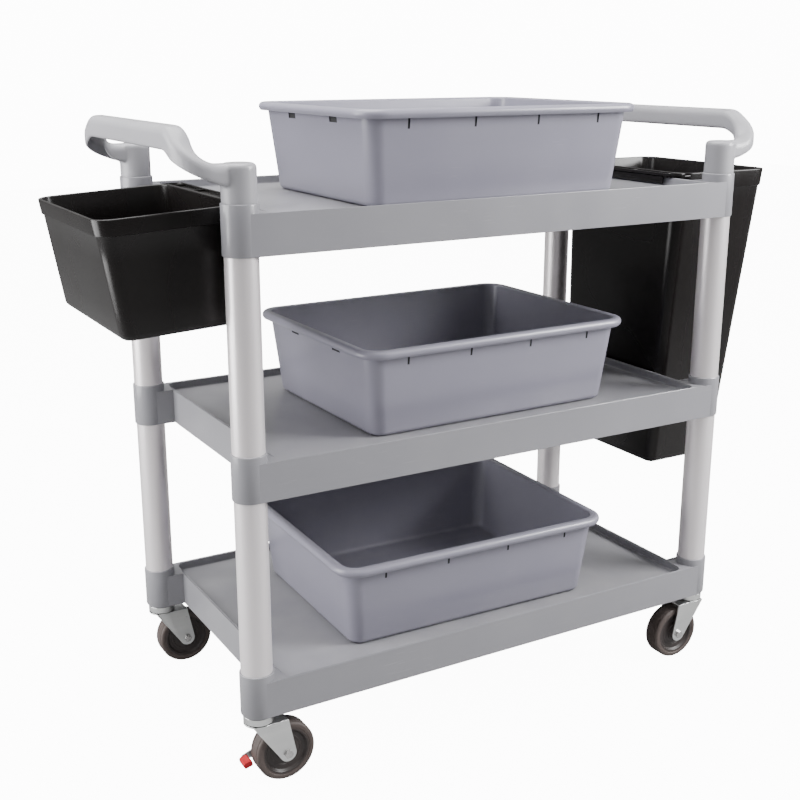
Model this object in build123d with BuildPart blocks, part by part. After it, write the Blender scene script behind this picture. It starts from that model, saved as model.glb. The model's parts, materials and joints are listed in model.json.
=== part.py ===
"""Three-shelf food service trolley with loose tubs and hook-on side bins.

Millimetres, +Z up. The origin is on the floor, below the centre of the shelves.
X runs along the trolley's length, Y across it. The -Y side is the front.
"""
import os
from math import cos, radians, sin

from build123d import *

os.makedirs("parts", exist_ok=True)

# ---- driving dimensions: frame -------------------------------------------------------
LEG_PITCH_X = 900.0          # between leg axes, along the trolley
LEG_PITCH_Y = 455.0          # between leg axes, across the trolley
TUBE_R = 25.0                # aluminium leg tube, outside
TUBE_WALL = 1.6
SLEEVE_WALL = 2.4            # moulded sleeve round each tube
SLEEVE_RISE = 12.0           # sleeve above the tray rim, lower two shelves
SEAT_WEB = 8.5               # web between the two tubes in one sleeve
SLIP = 0.05                  # radial gap of a tube or plug in its sleeve

SHELF_PITCHES = (356.0, 364.0)       # bottom to middle shelf, middle to top shelf
SKIRT_H = 60.5               # height of a shelf's skirt
TRAY_DEPTH = 14.0            # rim above the tray floor
TRAY_FLOOR = 3.5
TRAY_WALL = 5.0
TRAY_CORNER_R = 16.0
RIM_CHAMFER = 1.2
SKIRT_INSET = 2.0            # front skirt behind the sleeves' front
END_INSET = 36.0             # end wall inside the leg axis
RIB_T = 3.0
RIB_DEPTH = 26.0
RIBS_ALONG = 8
RIBS_ACROSS = 4

# ---- driving dimensions: end handles -------------------------------------------------
SEAM_RISE = 13.5             # top sleeve above the tray rim, where the handle sits
BOSS_STEP = 0.5              # boss wider than the tube
BOSS_H = 55.0
ARM_H = 30.0                 # arm at the boss, level with its top
GRIP_OUT = 73.0              # leg axis to the grip bar's centre line
GRIP_RISE = 50.0             # boss top to the bar's top
GRIP_W = 34.0
GRIP_H = 34.0
GRIP_EDGE_R = 9.0
GRIP_WALL = 3.5
GRIP_TURN_R = 30.0           # centre line's turn from arm to bar, seen from above
# distances along the centre line from the leg axis
ARM_STATIONS = (5.0, 22.0, 36.0, 50.0, 64.0, 78.0, 92.0, 104.0, 116.0)
HOLLOW_START = 29.0
TOP_CLIMB = (33.0, 91.0)     # top edge climbs between these
LOW_CLIMB = (22.0, 114.0)    # lower edge climbs between these

# ---- driving dimensions: casters -----------------------------------------------------
WHEEL_R = 50.0
WHEEL_W = 32.0
TREAD_T = 11.0
TREAD_CROWN = 0.3            # fall of the tread from its middle to its shoulder
TREAD_SHOULDER = 5.0
HUB_BOSS_R = 15.0
HUB_WEB_IN = 7.0             # web face in from the hub's rim edge
AXLE_R = 4.0
RUNNING_GAP = 0.05           # radial gap of a turning fit
SIDE_GAP = 0.5               # beside a turning face
TRAIL = 40.0                 # kingpin axis to axle
FORK_T = 2.5
FORK_SIDE_GAP = 4.0          # wheel to fork leg
FORK_TIP_R = 14.0
FORK_BACK = 16.0             # fork leg behind the kingpin at the crown
FORK_NOSE = 2.0              # fork leg past the axle at the crown
CROWN_R = 24.0
CROWN_CLEARANCE = 8.0        # wheel to the underside of the fork crown
KINGPIN_R = 5.5
KINGPIN_FLANGE_R = 9.0
KINGPIN_FLANGE_T = 4.0
RACE_H = 12.5                # race plate above the fork crown
RACE_SKIRT_GAP = 1.5         # race plate's outer skirt above the fork crown
SOCKET_FLANGE = 2.0          # flange between the sleeve and the race plate
STEM_END_GAP = 0.3           # stem below the end of its hole
STEM_SHORT = 8.0             # stem's hole ends below the tube's web
BALL_R = 2.2
BALL_GAP = 0.3
BALL_RING_R = 16.0
BALLS = 14
HEX_R = 7.5                  # bolt head and nut, over corners
HEX_T = 4.0
THREAD_OUT = 2.0             # thread past the nut
BRAKED = ("fl", "br")
LEVER_T = 2.5
LEVER_PAST = 14.0            # lever's tip past the tyre
LEVER_DROP = 14.0            # degrees below level at rest
LEVER_EYE_R = 11.0
LEVER_TIP_R = 5.0
TAB_W = 6.0                  # bent tab that carries the cap
CAP_INSIDE = 22.0            # cap's width inwards from the lever
CAP_LONG = 15.0
CAP_THICK = 10.0
CAP_CORNER_R = 3.0
CAP_EDGE_R = 1.5

# ---- driving dimensions: loose containers --------------------------------------------
TUB_L = 530.0                # over the rim
TUB_PLAY_Y = 40.4            # tub's rim to the tray wall, front and back
TUB_H = 148.0
TUB_CORNER_R = 42.0
TUB_WALL = 3.0
TUB_RIM_W = 14.0
TUB_RIM_H = 14.0
TUB_RIM_EDGE_R = 4.0
TUB_DRAFT = 16.0             # each wall leans in by this much to the base
TUB_BASE_TUCK = 4.0          # base corners tighter than the top ones by this
TUB_REST_GAP = 0.3
# centre x, centre y and turn in degrees, on the bottom, middle and top shelf
TUB_PLACES = ((-23.0, -20.0, -1.3), (13.0, -11.0, 0.9), (18.0, -10.0, 0.0))

BIN_PLAY_Y = 32.6            # bin's side to the sleeve beside it
BIN_REACH = 242.0            # hook lip's inner face to outer rim
BIN_WALL = 3.0
BIN_CORNER_R = 26.0
BIN_BASE_TUCK = 8.0          # base corners tighter than the rim's by this
BIN_BAND_H = 24.0
BIN_BAND_OUT = 3.0
HOOK_GAP = 4.0               # each side of the end wall
HOOK_DROP = 11.0             # lip below the end wall's top, inside the tray
HOOK_REST = 0.4              # hook plate above the end wall
HOOK_END = 15.0              # lip stops short of the bin's sides
BIN_RIM_RISE = 8.0           # rim above the tray rim
BIN_INNER_LEAN = 11.0        # inner wall leans away from the end wall towards the top
LEFT_BIN_H = 175.0
LEFT_BIN_TAPER = 20.0        # outer wall leans in by this much to the base
LEFT_BIN_SIDE_TAPER = 6.0    # each side wall leans in by this much to the base
LEFT_BIN_Y = -25.0
LEFT_BIN_DROOP = 3.0         # degrees the short bin sags on its hook
RIGHT_BIN_H = 556.0
RIGHT_BIN_TAPER = 60.0
RIGHT_BIN_SIDE_TAPER = 28.0
RIGHT_BIN_Y = 5.0

# ---- worked out ----------------------------------------------------------------------
LEG_X = LEG_PITCH_X / 2
LEG_Y = LEG_PITCH_Y / 2
SLEEVE_R = TUBE_R + SLEEVE_WALL
BORE_R = TUBE_R + SLIP
SEAT_DEPTH = (SKIRT_H + SLEEVE_RISE - SEAT_WEB) / 2      # length of tube held in a sleeve
END_X = LEG_X - END_INSET
FRONT_Y = LEG_Y + SLEEVE_R - SKIRT_INSET
CORNERS = {"fl": (-1, -1), "bl": (-1, 1), "fr": (1, -1), "br": (1, 1)}
LEG_CENTRES = [(sx * LEG_X, sy * LEG_Y) for sx, sy in CORNERS.values()]
AXLE_Z = WHEEL_R
CROWN_Z = 2 * WHEEL_R + CROWN_CLEARANCE
CROWN_TOP = CROWN_Z + FORK_T
RACE_TOP = CROWN_TOP + RACE_H
BALL_Z = CROWN_TOP + BALL_R
FORK_HALF = WHEEL_W / 2 + FORK_SIDE_GAP      # inside half width of the fork
LEG_FACE = FORK_HALF + FORK_T                # outside face of a fork leg
LEVER_IN = LEG_FACE + SIDE_GAP               # near face of the brake lever
LEVER_REACH = WHEEL_R + LEVER_PAST
BOTTOM_Z = RACE_TOP + SOCKET_FLANGE
SHELF_UNDERSIDES = (BOTTOM_Z, BOTTOM_Z + SHELF_PITCHES[0], BOTTOM_Z + sum(SHELF_PITCHES))
STEM_TOP = BOTTOM_Z + SEAT_DEPTH - STEM_SHORT
TOP_RIM_Z = SHELF_UNDERSIDES[2] + SKIRT_H
SEAM_Z = TOP_RIM_Z + SEAM_RISE
BOSS_R = TUBE_R + BOSS_STEP
BOSS_TOP = SEAM_Z + BOSS_H
GRIP_X = LEG_X + GRIP_OUT
GRIP_TOP = BOSS_TOP + GRIP_RISE
TUB_W = 2 * (FRONT_Y - TRAY_WALL - TUB_PLAY_Y)
BIN_W = LEG_PITCH_Y - 2 * (SLEEVE_R + BIN_PLAY_Y)        # along the end wall
LIP_IN = -(TRAY_WALL + HOOK_GAP + BIN_WALL)      # hook lip's inner face from the end wall
RIM_OUT = LIP_IN + BIN_REACH


def save(part, label):
    """Label a finished piece and write its STEP file."""
    part.label = label
    export_step(part, f"parts/{label}.step")


# ---- shelves -------------------------------------------------------------------------
def make_shelf(underside, sleeve_top):
    """Tray with a skirt, ribs below and a tube sleeve at each corner."""
    rim = underside + SKIRT_H
    floor_top = rim - TRAY_DEPTH
    inner_x = END_X - TRAY_WALL
    inner_y = FRONT_Y - TRAY_WALL
    web_low = underside + SEAT_DEPTH
    web_high = sleeve_top - SEAT_DEPTH
    with BuildPart() as shelf:
        with BuildSketch(Plane.XY.offset(underside)):
            Rectangle(2 * END_X, 2 * FRONT_Y)
            with Locations(*[(sx * (LEG_X - END_INSET / 2), sy * LEG_Y) for sx, sy in CORNERS.values()]):
                Rectangle(END_INSET, 2 * (FRONT_Y - LEG_Y))
        extrude(amount=SKIRT_H)
        outer_rim = shelf.edges().filter_by(GeomType.LINE).group_by(Axis.Z)[-1]
        chamfer(outer_rim, RIM_CHAMFER)
        with BuildSketch(Plane.XY.offset(floor_top)):
            RectangleRounded(2 * inner_x, 2 * inner_y, TRAY_CORNER_R)
        extrude(amount=TRAY_DEPTH + 1, mode=Mode.SUBTRACT)
        with BuildSketch(Plane.XY.offset(underside)):
            RectangleRounded(2 * inner_x, 2 * inner_y, TRAY_CORNER_R)
        extrude(amount=SKIRT_H - TRAY_DEPTH - TRAY_FLOOR, mode=Mode.SUBTRACT)
        with BuildSketch(Plane.XY.offset(floor_top - TRAY_FLOOR - RIB_DEPTH)):
            with GridLocations(2 * inner_x / (RIBS_ALONG + 1), 0, RIBS_ALONG, 1):
                Rectangle(RIB_T, 2 * inner_y)
            with GridLocations(0, 2 * inner_y / (RIBS_ACROSS + 1), 1, RIBS_ACROSS):
                Rectangle(2 * inner_x, RIB_T)
        extrude(amount=RIB_DEPTH)
        with BuildSketch(Plane.XY.offset(underside)):
            with Locations(*LEG_CENTRES):
                Circle(SLEEVE_R)
        extrude(amount=sleeve_top - underside)
        with BuildSketch(Plane.XY.offset(underside)):
            with Locations(*LEG_CENTRES):
                Circle(BORE_R)
        extrude(amount=web_low - underside, mode=Mode.SUBTRACT)
        with BuildSketch(Plane.XY.offset(web_high)):
            with Locations(*LEG_CENTRES):
                Circle(BORE_R)
        extrude(amount=SEAT_DEPTH, mode=Mode.SUBTRACT)
    return shelf.part


SHELF_NAMES = ("bottom_shelf", "middle_shelf", "top_shelf")
SLEEVE_TOPS = [z + SKIRT_H + SLEEVE_RISE for z in SHELF_UNDERSIDES[:2]] + [SEAM_Z]
for shelf_name, shelf_z, sleeve_z in zip(SHELF_NAMES, SHELF_UNDERSIDES, SLEEVE_TOPS):
    save(make_shelf(shelf_z, sleeve_z), shelf_name)


# ---- leg tubes -----------------------------------------------------------------------
def make_leg(x, y, low, high):
    """Round tube whose ends butt on the webs inside two sleeves."""
    with BuildPart() as leg:
        with BuildSketch(Plane.XY.offset(low)):
            with Locations((x, y)):
                Circle(TUBE_R)
                Circle(TUBE_R - TUBE_WALL, mode=Mode.SUBTRACT)
        extrude(amount=high - low)
    return leg.part


for level, label in enumerate(("lower_leg", "upper_leg")):
    leg_low = SLEEVE_TOPS[level] - SEAT_DEPTH
    leg_high = SHELF_UNDERSIDES[level + 1] + SEAT_DEPTH
    for corner, (side_x, side_y) in CORNERS.items():
        save(make_leg(side_x * LEG_X, side_y * LEG_Y, leg_low, leg_high), f"{label}_{corner}")


# ---- end handles ---------------------------------------------------------------------
def climb(s, low, high, span):
    """Height at a distance along the grip that eases from low to high over a span."""
    share = min(1.0, max(0.0, (s - span[0]) / (span[1] - span[0])))
    return low + (high - low) * share * share * (3 - 2 * share)


def grip_station(s):
    """Place and heading in plan at a distance along the front arm's centre line."""
    straight = GRIP_OUT - GRIP_TURN_R
    turn = min(radians(90), max(0.0, (s - straight) / GRIP_TURN_R))
    rest = max(0.0, s - straight - GRIP_TURN_R * radians(90))
    x = LEG_X + min(s, straight) + GRIP_TURN_R * sin(turn)
    return x, -LEG_Y + GRIP_TURN_R * (1 - cos(turn)) + rest, turn


def make_arm(stations, inset, below):
    """Front arm from the boss round to the bar; below reaches past its lower edge."""
    with BuildPart() as arm:
        for s in stations:
            x, y, turn = grip_station(s)
            top = climb(s, BOSS_TOP, GRIP_TOP, TOP_CLIMB) - inset
            low = climb(s, BOSS_TOP - ARM_H, GRIP_TOP - GRIP_H, LOW_CLIMB) - below
            with BuildSketch(Plane(origin=(x, y, (top + low) / 2), x_dir=(sin(turn), -cos(turn), 0),
                                   z_dir=(cos(turn), sin(turn), 0))):
                RectangleRounded(GRIP_W - 2 * inset, top - low, GRIP_EDGE_R - inset)
        loft()
    return arm.part


def make_bar(inset, below):
    """Straight bar between the two arms' ends."""
    half_y = -grip_station(ARM_STATIONS[-1])[1]
    top, low = GRIP_TOP - inset, GRIP_TOP - GRIP_H - below
    with BuildPart() as bar:
        with BuildSketch(Plane(origin=(GRIP_X, 0, (top + low) / 2), x_dir=(1, 0, 0), z_dir=(0, 1, 0))):
            RectangleRounded(GRIP_W - 2 * inset, top - low, GRIP_EDGE_R - inset)
        extrude(amount=half_y, both=True)
    return bar.part


def make_handle():
    """Right-hand handle: two bosses on the sleeves and one grip, hollow from below."""
    posts = [(LEG_X, -LEG_Y), (LEG_X, LEG_Y)]
    arm = make_arm(ARM_STATIONS, 0, 0)
    hollow_below = 4 * GRIP_WALL
    hollow = make_arm((HOLLOW_START, *ARM_STATIONS[2:]), GRIP_WALL, hollow_below)
    with BuildPart() as handle:
        add(make_bar(0, 0))
        add(arm)
        add(mirror(arm, about=Plane.XZ))
        add(make_bar(GRIP_WALL, hollow_below), mode=Mode.SUBTRACT)
        add(hollow, mode=Mode.SUBTRACT)
        add(mirror(hollow, about=Plane.XZ), mode=Mode.SUBTRACT)
        with BuildSketch(Plane.XY.offset(SEAM_Z)):
            with Locations(*posts):
                Circle(BOSS_R)
        extrude(amount=BOSS_H)
        with BuildSketch(Plane.XY.offset(SEAM_Z - SEAT_DEPTH)):
            with Locations(*posts):
                Circle(TUBE_R)
        extrude(amount=SEAT_DEPTH)
    return handle.part


right_handle = make_handle()
save(right_handle, "right_handle")
save(mirror(right_handle, about=Plane.YZ), "left_handle")


# ---- caster sockets ------------------------------------------------------------------
def make_socket(x, y):
    """Plastic plug in the sleeve that grips the caster's stem."""
    with BuildPart() as socket:
        with BuildSketch(Plane.XY.offset(BOTTOM_Z)):
            with Locations((x, y)):
                Circle(TUBE_R)
        extrude(amount=SEAT_DEPTH)
        with BuildSketch(Plane.XY.offset(RACE_TOP)):
            with Locations((x, y)):
                Circle(CROWN_R)
        extrude(amount=SOCKET_FLANGE)
        with BuildSketch(Plane.XY.offset(RACE_TOP)):
            with Locations((x, y)):
                Circle(KINGPIN_R)
        extrude(amount=STEM_TOP - RACE_TOP, mode=Mode.SUBTRACT)
    return socket.part


# ---- swivel casters ------------------------------------------------------------------
def side_plane(x, y, toward):
    """Side view of a caster: sketch X along its trail, sketch Y up."""
    return Plane(origin=(x, y, 0), x_dir=(toward, 0, 0), z_dir=(0, -toward, 0))


def make_race(x, y):
    """Stem, upper race plate and the kingpin with its flange below the crown."""
    flange_low, skirt_low = CROWN_Z - KINGPIN_FLANGE_T, CROWN_TOP + RACE_SKIRT_GAP
    ring_out, ring_top = BALL_RING_R + BALL_R + BALL_GAP, BALL_Z + BALL_R
    stem_r, stem_end = KINGPIN_R - SLIP, STEM_TOP - STEM_END_GAP
    with BuildPart() as race:
        with BuildSketch(side_plane(x, y, 1)):
            with BuildLine():
                Polyline((0, flange_low), (KINGPIN_FLANGE_R, flange_low),
                         (KINGPIN_FLANGE_R, CROWN_Z - SIDE_GAP), (KINGPIN_R, CROWN_Z - SIDE_GAP),
                         (KINGPIN_R, ring_top), (ring_out, ring_top), (ring_out, skirt_low),
                         (CROWN_R, skirt_low), (CROWN_R, RACE_TOP), (stem_r, RACE_TOP),
                         (stem_r, stem_end - 1.2), (KINGPIN_R - 1.5, stem_end),
                         (0, stem_end), close=True)
            make_face()
        revolve(axis=Axis((x, y, 0), (0, 0, 1)))
    return race.part


def make_balls(x, y):
    """Ring of bearing balls between the upper race and the fork crown."""
    with BuildPart(Plane.XY.offset(BALL_Z)) as balls:
        with Locations((x, y)):
            with PolarLocations(BALL_RING_R, BALLS):
                Sphere(BALL_R - BALL_GAP)
    return balls.part


def make_fork(x, y, toward):
    """Pressed fork: round crown with two legs that slope to the axle."""
    side = side_plane(x, y, toward)
    crown_mid = (TRAIL + FORK_NOSE - FORK_BACK) / 2
    crown_len = TRAIL + FORK_NOSE + FORK_BACK
    with BuildPart() as fork:
        with BuildSketch(side):
            with Locations((crown_mid, CROWN_TOP - FORK_T / 2)):
                Rectangle(crown_len, FORK_T)
            with Locations((TRAIL, AXLE_Z)):
                Circle(FORK_TIP_R)
            make_hull()
        extrude(amount=LEG_FACE, both=True)
        with BuildSketch(side):
            with Locations((crown_mid, 0)):
                Rectangle(4 * crown_len, CROWN_Z, align=(Align.CENTER, Align.MIN))
        extrude(amount=FORK_HALF, both=True, mode=Mode.SUBTRACT)
        with BuildSketch(Plane.XY.offset(CROWN_Z)):
            with Locations((x, y)):
                Circle(CROWN_R)
        extrude(amount=FORK_T)
        with BuildSketch(Plane.XY.offset(CROWN_Z)):
            with Locations((x, y)):
                Circle(KINGPIN_R + RUNNING_GAP)
        extrude(amount=FORK_T, mode=Mode.SUBTRACT)
        with BuildSketch(side):
            with Locations((TRAIL, AXLE_Z)):
                Circle(AXLE_R + SLIP)
        extrude(amount=LEG_FACE, both=True, mode=Mode.SUBTRACT)
    return fork.part


def make_axle(x, y, out, braked):
    """Axle bolt with its head outwards, and the nut on the inner side."""
    head = Plane(origin=(x, y, AXLE_Z), x_dir=(1, 0, 0), z_dir=(0, out, 0))
    inner_stack = LEG_FACE + (LEVER_T + 2 * SIDE_GAP if braked else 0)
    with BuildPart() as axle:
        with BuildSketch(head.offset(LEG_FACE)):
            RegularPolygon(HEX_R, 6)
        extrude(amount=HEX_T)
        with BuildSketch(head.offset(-inner_stack - HEX_T - THREAD_OUT)):
            Circle(AXLE_R)
        extrude(amount=inner_stack + HEX_T + THREAD_OUT + LEG_FACE)
        with BuildSketch(head.offset(-inner_stack - HEX_T)):
            RegularPolygon(HEX_R, 6)
            Circle(AXLE_R + SLIP, mode=Mode.SUBTRACT)
        extrude(amount=HEX_T)
    return axle.part


def make_tread(x, y):
    """Rubber tyre with rounded shoulders."""
    half, inner = WHEEL_W / 2, WHEEL_R - TREAD_T
    side, edge = WHEEL_R - TREAD_SHOULDER, half - TREAD_SHOULDER
    bulge, edge_r = TREAD_SHOULDER * 0.3, WHEEL_R - TREAD_CROWN
    with BuildPart() as tread:
        with BuildSketch(Plane(origin=(x, y, AXLE_Z), x_dir=(0, 1, 0), z_dir=(1, 0, 0))):
            with BuildLine():
                Line((-half, inner), (half, inner))
                Line((half, inner), (half, side))
                ThreePointArc((half, side), (half - bulge, WHEEL_R - bulge), (edge, edge_r))
                ThreePointArc((edge, edge_r), (0, WHEEL_R), (-edge, edge_r))
                ThreePointArc((-edge, edge_r), (bulge - half, WHEEL_R - bulge), (-half, side))
                Line((-half, side), (-half, inner))
            make_face()
        revolve(axis=Axis((x, y, AXLE_Z), (0, 1, 0)))
    return tread.part


def make_hub(x, y):
    """Wheel centre with a long boss, thin web and a rim under the tyre."""
    rim_r, rim_half = WHEEL_R - TREAD_T, WHEEL_W / 2 - 1
    boss_half, boss_end_r, bore_r = FORK_HALF - SIDE_GAP, HUB_BOSS_R - 4, AXLE_R + RUNNING_GAP
    web, web_low, web_high = rim_half - HUB_WEB_IN, HUB_BOSS_R + 2, rim_r - 5
    with BuildPart() as hub:
        with BuildSketch(Plane(origin=(x, y, AXLE_Z), x_dir=(0, 1, 0), z_dir=(1, 0, 0))):
            with BuildLine():
                Polyline((-boss_half, bore_r), (boss_half, bore_r), (boss_half, boss_end_r),
                         (rim_half - 3, HUB_BOSS_R), (web, web_low), (web, web_high),
                         (rim_half, rim_r - 3), (rim_half, rim_r), (-rim_half, rim_r),
                         (-rim_half, rim_r - 3), (-web, web_high), (-web, web_low),
                         (3 - rim_half, HUB_BOSS_R), (-boss_half, boss_end_r), close=True)
            make_face()
        revolve(axis=Axis((x, y, AXLE_Z), (0, 1, 0)))
    return hub.part


def lever_plane(x, y, toward, out, depth):
    """Plane of the brake lever: sketch X from the axle to the lever's tip."""
    drop = radians(LEVER_DROP)
    return Plane(origin=(x, y - out * depth, AXLE_Z),
                 x_dir=(-toward * cos(drop), 0, -sin(drop)), z_dir=(0, -out, 0))


def make_lever(x, y, toward, out):
    """Stamped brake lever on the inner end of the axle, with a bent tab at its tip."""
    flat = lever_plane(x, y, toward, out, LEVER_IN)
    with BuildPart() as lever:
        with BuildSketch(flat):
            Circle(LEVER_EYE_R)
            with Locations((LEVER_REACH - LEVER_TIP_R, 0)):
                Circle(LEVER_TIP_R)
            make_hull()
            Circle(AXLE_R + RUNNING_GAP, mode=Mode.SUBTRACT)
        extrude(amount=LEVER_T)
        with BuildSketch(flat):
            with Locations((LEVER_REACH - TAB_W / 2, 0)):
                Rectangle(TAB_W, LEVER_T)
        extrude(amount=3 - CAP_INSIDE)
    return lever.part


def make_cap(x, y, toward, out):
    """Red plastic tip pushed on the lever's tab."""
    flat = lever_plane(x, y, toward, out, LEVER_IN - 0.3)
    toward_lever = Axis((0, 0, 0), (0, -out, 0))
    with BuildPart() as cap:
        with BuildSketch(flat):
            with Locations((LEVER_REACH - TAB_W / 2, 0)):
                RectangleRounded(CAP_LONG, CAP_THICK, CAP_CORNER_R)
        extrude(amount=-CAP_INSIDE)
        fillet(cap.faces().sort_by(toward_lever)[-1].edges(), CAP_EDGE_R)
        with BuildSketch(flat):
            with Locations((LEVER_REACH - TAB_W / 2, 0)):
                Rectangle(TAB_W + 2 * SLIP, LEVER_T + 2 * SLIP)
        extrude(amount=2 - CAP_INSIDE, mode=Mode.SUBTRACT)
    return cap.part


for corner, (side_x, side_y) in CORNERS.items():
    leg_x, leg_y = side_x * LEG_X, side_y * LEG_Y
    trail_side = -side_x
    axle_x = leg_x + trail_side * TRAIL
    has_brake = corner in BRAKED
    save(make_socket(leg_x, leg_y), f"caster_socket_{corner}")
    save(make_race(leg_x, leg_y), f"caster_stem_{corner}")
    save(make_balls(leg_x, leg_y), f"swivel_balls_{corner}")
    save(make_fork(leg_x, leg_y, trail_side), f"caster_fork_{corner}")
    save(make_axle(axle_x, leg_y, side_y, has_brake), f"axle_bolt_{corner}")
    save(make_tread(axle_x, leg_y), f"wheel_tread_{corner}")
    save(make_hub(axle_x, leg_y), f"wheel_hub_{corner}")
    if has_brake:
        save(make_lever(axle_x, leg_y, trail_side, side_y), f"brake_lever_{corner}")
        save(make_cap(axle_x, leg_y, trail_side, side_y), f"brake_cap_{corner}")


# ---- loose tubs ----------------------------------------------------------------------
def make_tub(base):
    """Tapered tub with rounded corners and a turned-down rim."""
    body_l, body_w = TUB_L - 2 * TUB_RIM_W, TUB_W - 2 * TUB_RIM_W
    top_r = TUB_CORNER_R - TUB_RIM_W
    base_r = top_r - TUB_BASE_TUCK
    lean = 2 * TUB_DRAFT
    rim_z = base.origin.Z + TUB_H
    with BuildPart() as tub:
        with BuildSketch(base):
            RectangleRounded(body_l - lean, body_w - lean, base_r)
        with BuildSketch(base.offset(TUB_H)):
            RectangleRounded(body_l, body_w, top_r)
        loft()
        with BuildSketch(base.offset(TUB_H - TUB_RIM_H)):
            RectangleRounded(TUB_L, TUB_W, TUB_CORNER_R)
        extrude(amount=TUB_RIM_H)
        fillet(tub.edges().filter_by_position(Axis.Z, rim_z - 0.01, rim_z + 0.01), TUB_RIM_EDGE_R)
        with BuildSketch(base.offset(TUB_WALL)):
            RectangleRounded(body_l - lean - 2 * TUB_WALL, body_w - lean - 2 * TUB_WALL, base_r - 2)
        with BuildSketch(base.offset(TUB_H)):
            RectangleRounded(body_l - 2 * TUB_WALL, body_w - 2 * TUB_WALL, top_r - 2)
        loft(mode=Mode.SUBTRACT)
        under = base.offset(TUB_H - TUB_RIM_H)
        with BuildSketch(under):
            RectangleRounded(TUB_L - 2 * TUB_WALL, TUB_W - 2 * TUB_WALL, TUB_CORNER_R - TUB_WALL)
            RectangleRounded(body_l, body_w, top_r, mode=Mode.SUBTRACT)
        extrude(amount=TUB_RIM_H - TUB_WALL - 1, mode=Mode.SUBTRACT)
    return tub.part


TUB_NAMES = ("bottom_tub", "middle_tub", "top_tub")
for tub_name, shelf_z, (tub_x, tub_y, turn) in zip(TUB_NAMES, SHELF_UNDERSIDES, TUB_PLACES):
    stand_z = shelf_z + SKIRT_H - TRAY_DEPTH + TUB_REST_GAP
    tub_base = Plane(origin=(tub_x, tub_y, stand_z),
                     x_dir=(cos(radians(turn)), sin(radians(turn)), 0), z_dir=(0, 0, 1))
    save(make_tub(tub_base), tub_name)


# ---- hook-on side bins ---------------------------------------------------------------
def make_bin(hook, height, end_taper, side_taper):
    """Tapered bin whose inner edge hooks over the top shelf's end wall."""
    wall = BIN_WALL
    body_in, body_out = HOOK_GAP + BIN_INNER_LEAN, RIM_OUT - BIN_BAND_OUT
    base_in, base_out = HOOK_GAP, body_out - end_taper
    body_w, base_w = BIN_W - 2 * BIN_BAND_OUT, BIN_W - 2 * BIN_BAND_OUT - 2 * side_taper
    base_r = BIN_CORNER_R - BIN_BASE_TUCK
    low = BIN_RIM_RISE - height
    with BuildPart() as side_bin:
        with BuildSketch(hook.offset(low)):
            with Locations(((base_in + base_out) / 2, 0)):
                RectangleRounded(base_out - base_in, base_w, base_r)
        with BuildSketch(hook.offset(BIN_RIM_RISE)):
            with Locations(((body_in + body_out) / 2, 0)):
                RectangleRounded(body_out - body_in, body_w, BIN_CORNER_R)
        loft()
        with BuildSketch(hook.offset(BIN_RIM_RISE - BIN_BAND_H)):
            with Locations(((body_in + RIM_OUT) / 2 - BIN_BAND_OUT / 2, 0)):
                RectangleRounded(RIM_OUT - body_in + BIN_BAND_OUT, BIN_W, BIN_CORNER_R + BIN_BAND_OUT)
        extrude(amount=BIN_BAND_H)
        with BuildSketch(hook.offset(HOOK_REST)):
            with Locations((LIP_IN, 0)):
                Rectangle(body_in + BIN_CORNER_R + wall - LIP_IN, BIN_W, align=(Align.MIN, Align.CENTER))
        extrude(amount=BIN_RIM_RISE - HOOK_REST)
        with BuildSketch(hook.offset(HOOK_REST + wall)):
            with Locations((LIP_IN + wall, 0)):
                Rectangle(body_in - LIP_IN - wall, BIN_W - 2 * wall, align=(Align.MIN, Align.CENTER))
        extrude(amount=BIN_RIM_RISE, mode=Mode.SUBTRACT)
        with BuildSketch(hook.offset(HOOK_REST)):
            with Locations((LIP_IN, 0)):
                Rectangle(wall, BIN_W - 2 * HOOK_END, align=(Align.MIN, Align.CENTER))
        extrude(amount=-HOOK_DROP)
        with BuildSketch(hook.offset(low + wall)):
            with Locations(((base_in + base_out) / 2, 0)):
                RectangleRounded(base_out - base_in - 2 * wall, base_w - 2 * wall, base_r - wall)
        with BuildSketch(hook.offset(BIN_RIM_RISE + 1)):
            with Locations(((body_in + body_out) / 2, 0)):
                RectangleRounded(body_out - body_in - 2 * wall, body_w - 2 * wall, BIN_CORNER_R - wall)
        loft(mode=Mode.SUBTRACT)
    return side_bin.part


def hook_plane(side, centre_y, droop):
    """Plane at the end wall's top outer edge, X outwards and dipping by the droop."""
    dip = radians(droop)
    return Plane(origin=(side * END_X, centre_y, TOP_RIM_Z), x_dir=(side * cos(dip), 0, -sin(dip)),
                 z_dir=(side * sin(dip), 0, cos(dip)))


save(make_bin(hook_plane(-1, LEFT_BIN_Y, LEFT_BIN_DROOP), LEFT_BIN_H, LEFT_BIN_TAPER,
              LEFT_BIN_SIDE_TAPER), "left_bin")
save(make_bin(hook_plane(1, RIGHT_BIN_Y, 0.0), RIGHT_BIN_H, RIGHT_BIN_TAPER,
              RIGHT_BIN_SIDE_TAPER), "right_bin")
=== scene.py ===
"""Looks of a three-shelf food service trolley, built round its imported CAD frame."""

import json
import logging
from collections.abc import Sequence
from dataclasses import dataclass, field
from enum import Enum
from math import cos, pi, radians, sin

import bmesh
import bpy
from mathutils import Matrix, Vector
from mathutils.geometry import tessellate_polygon

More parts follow.
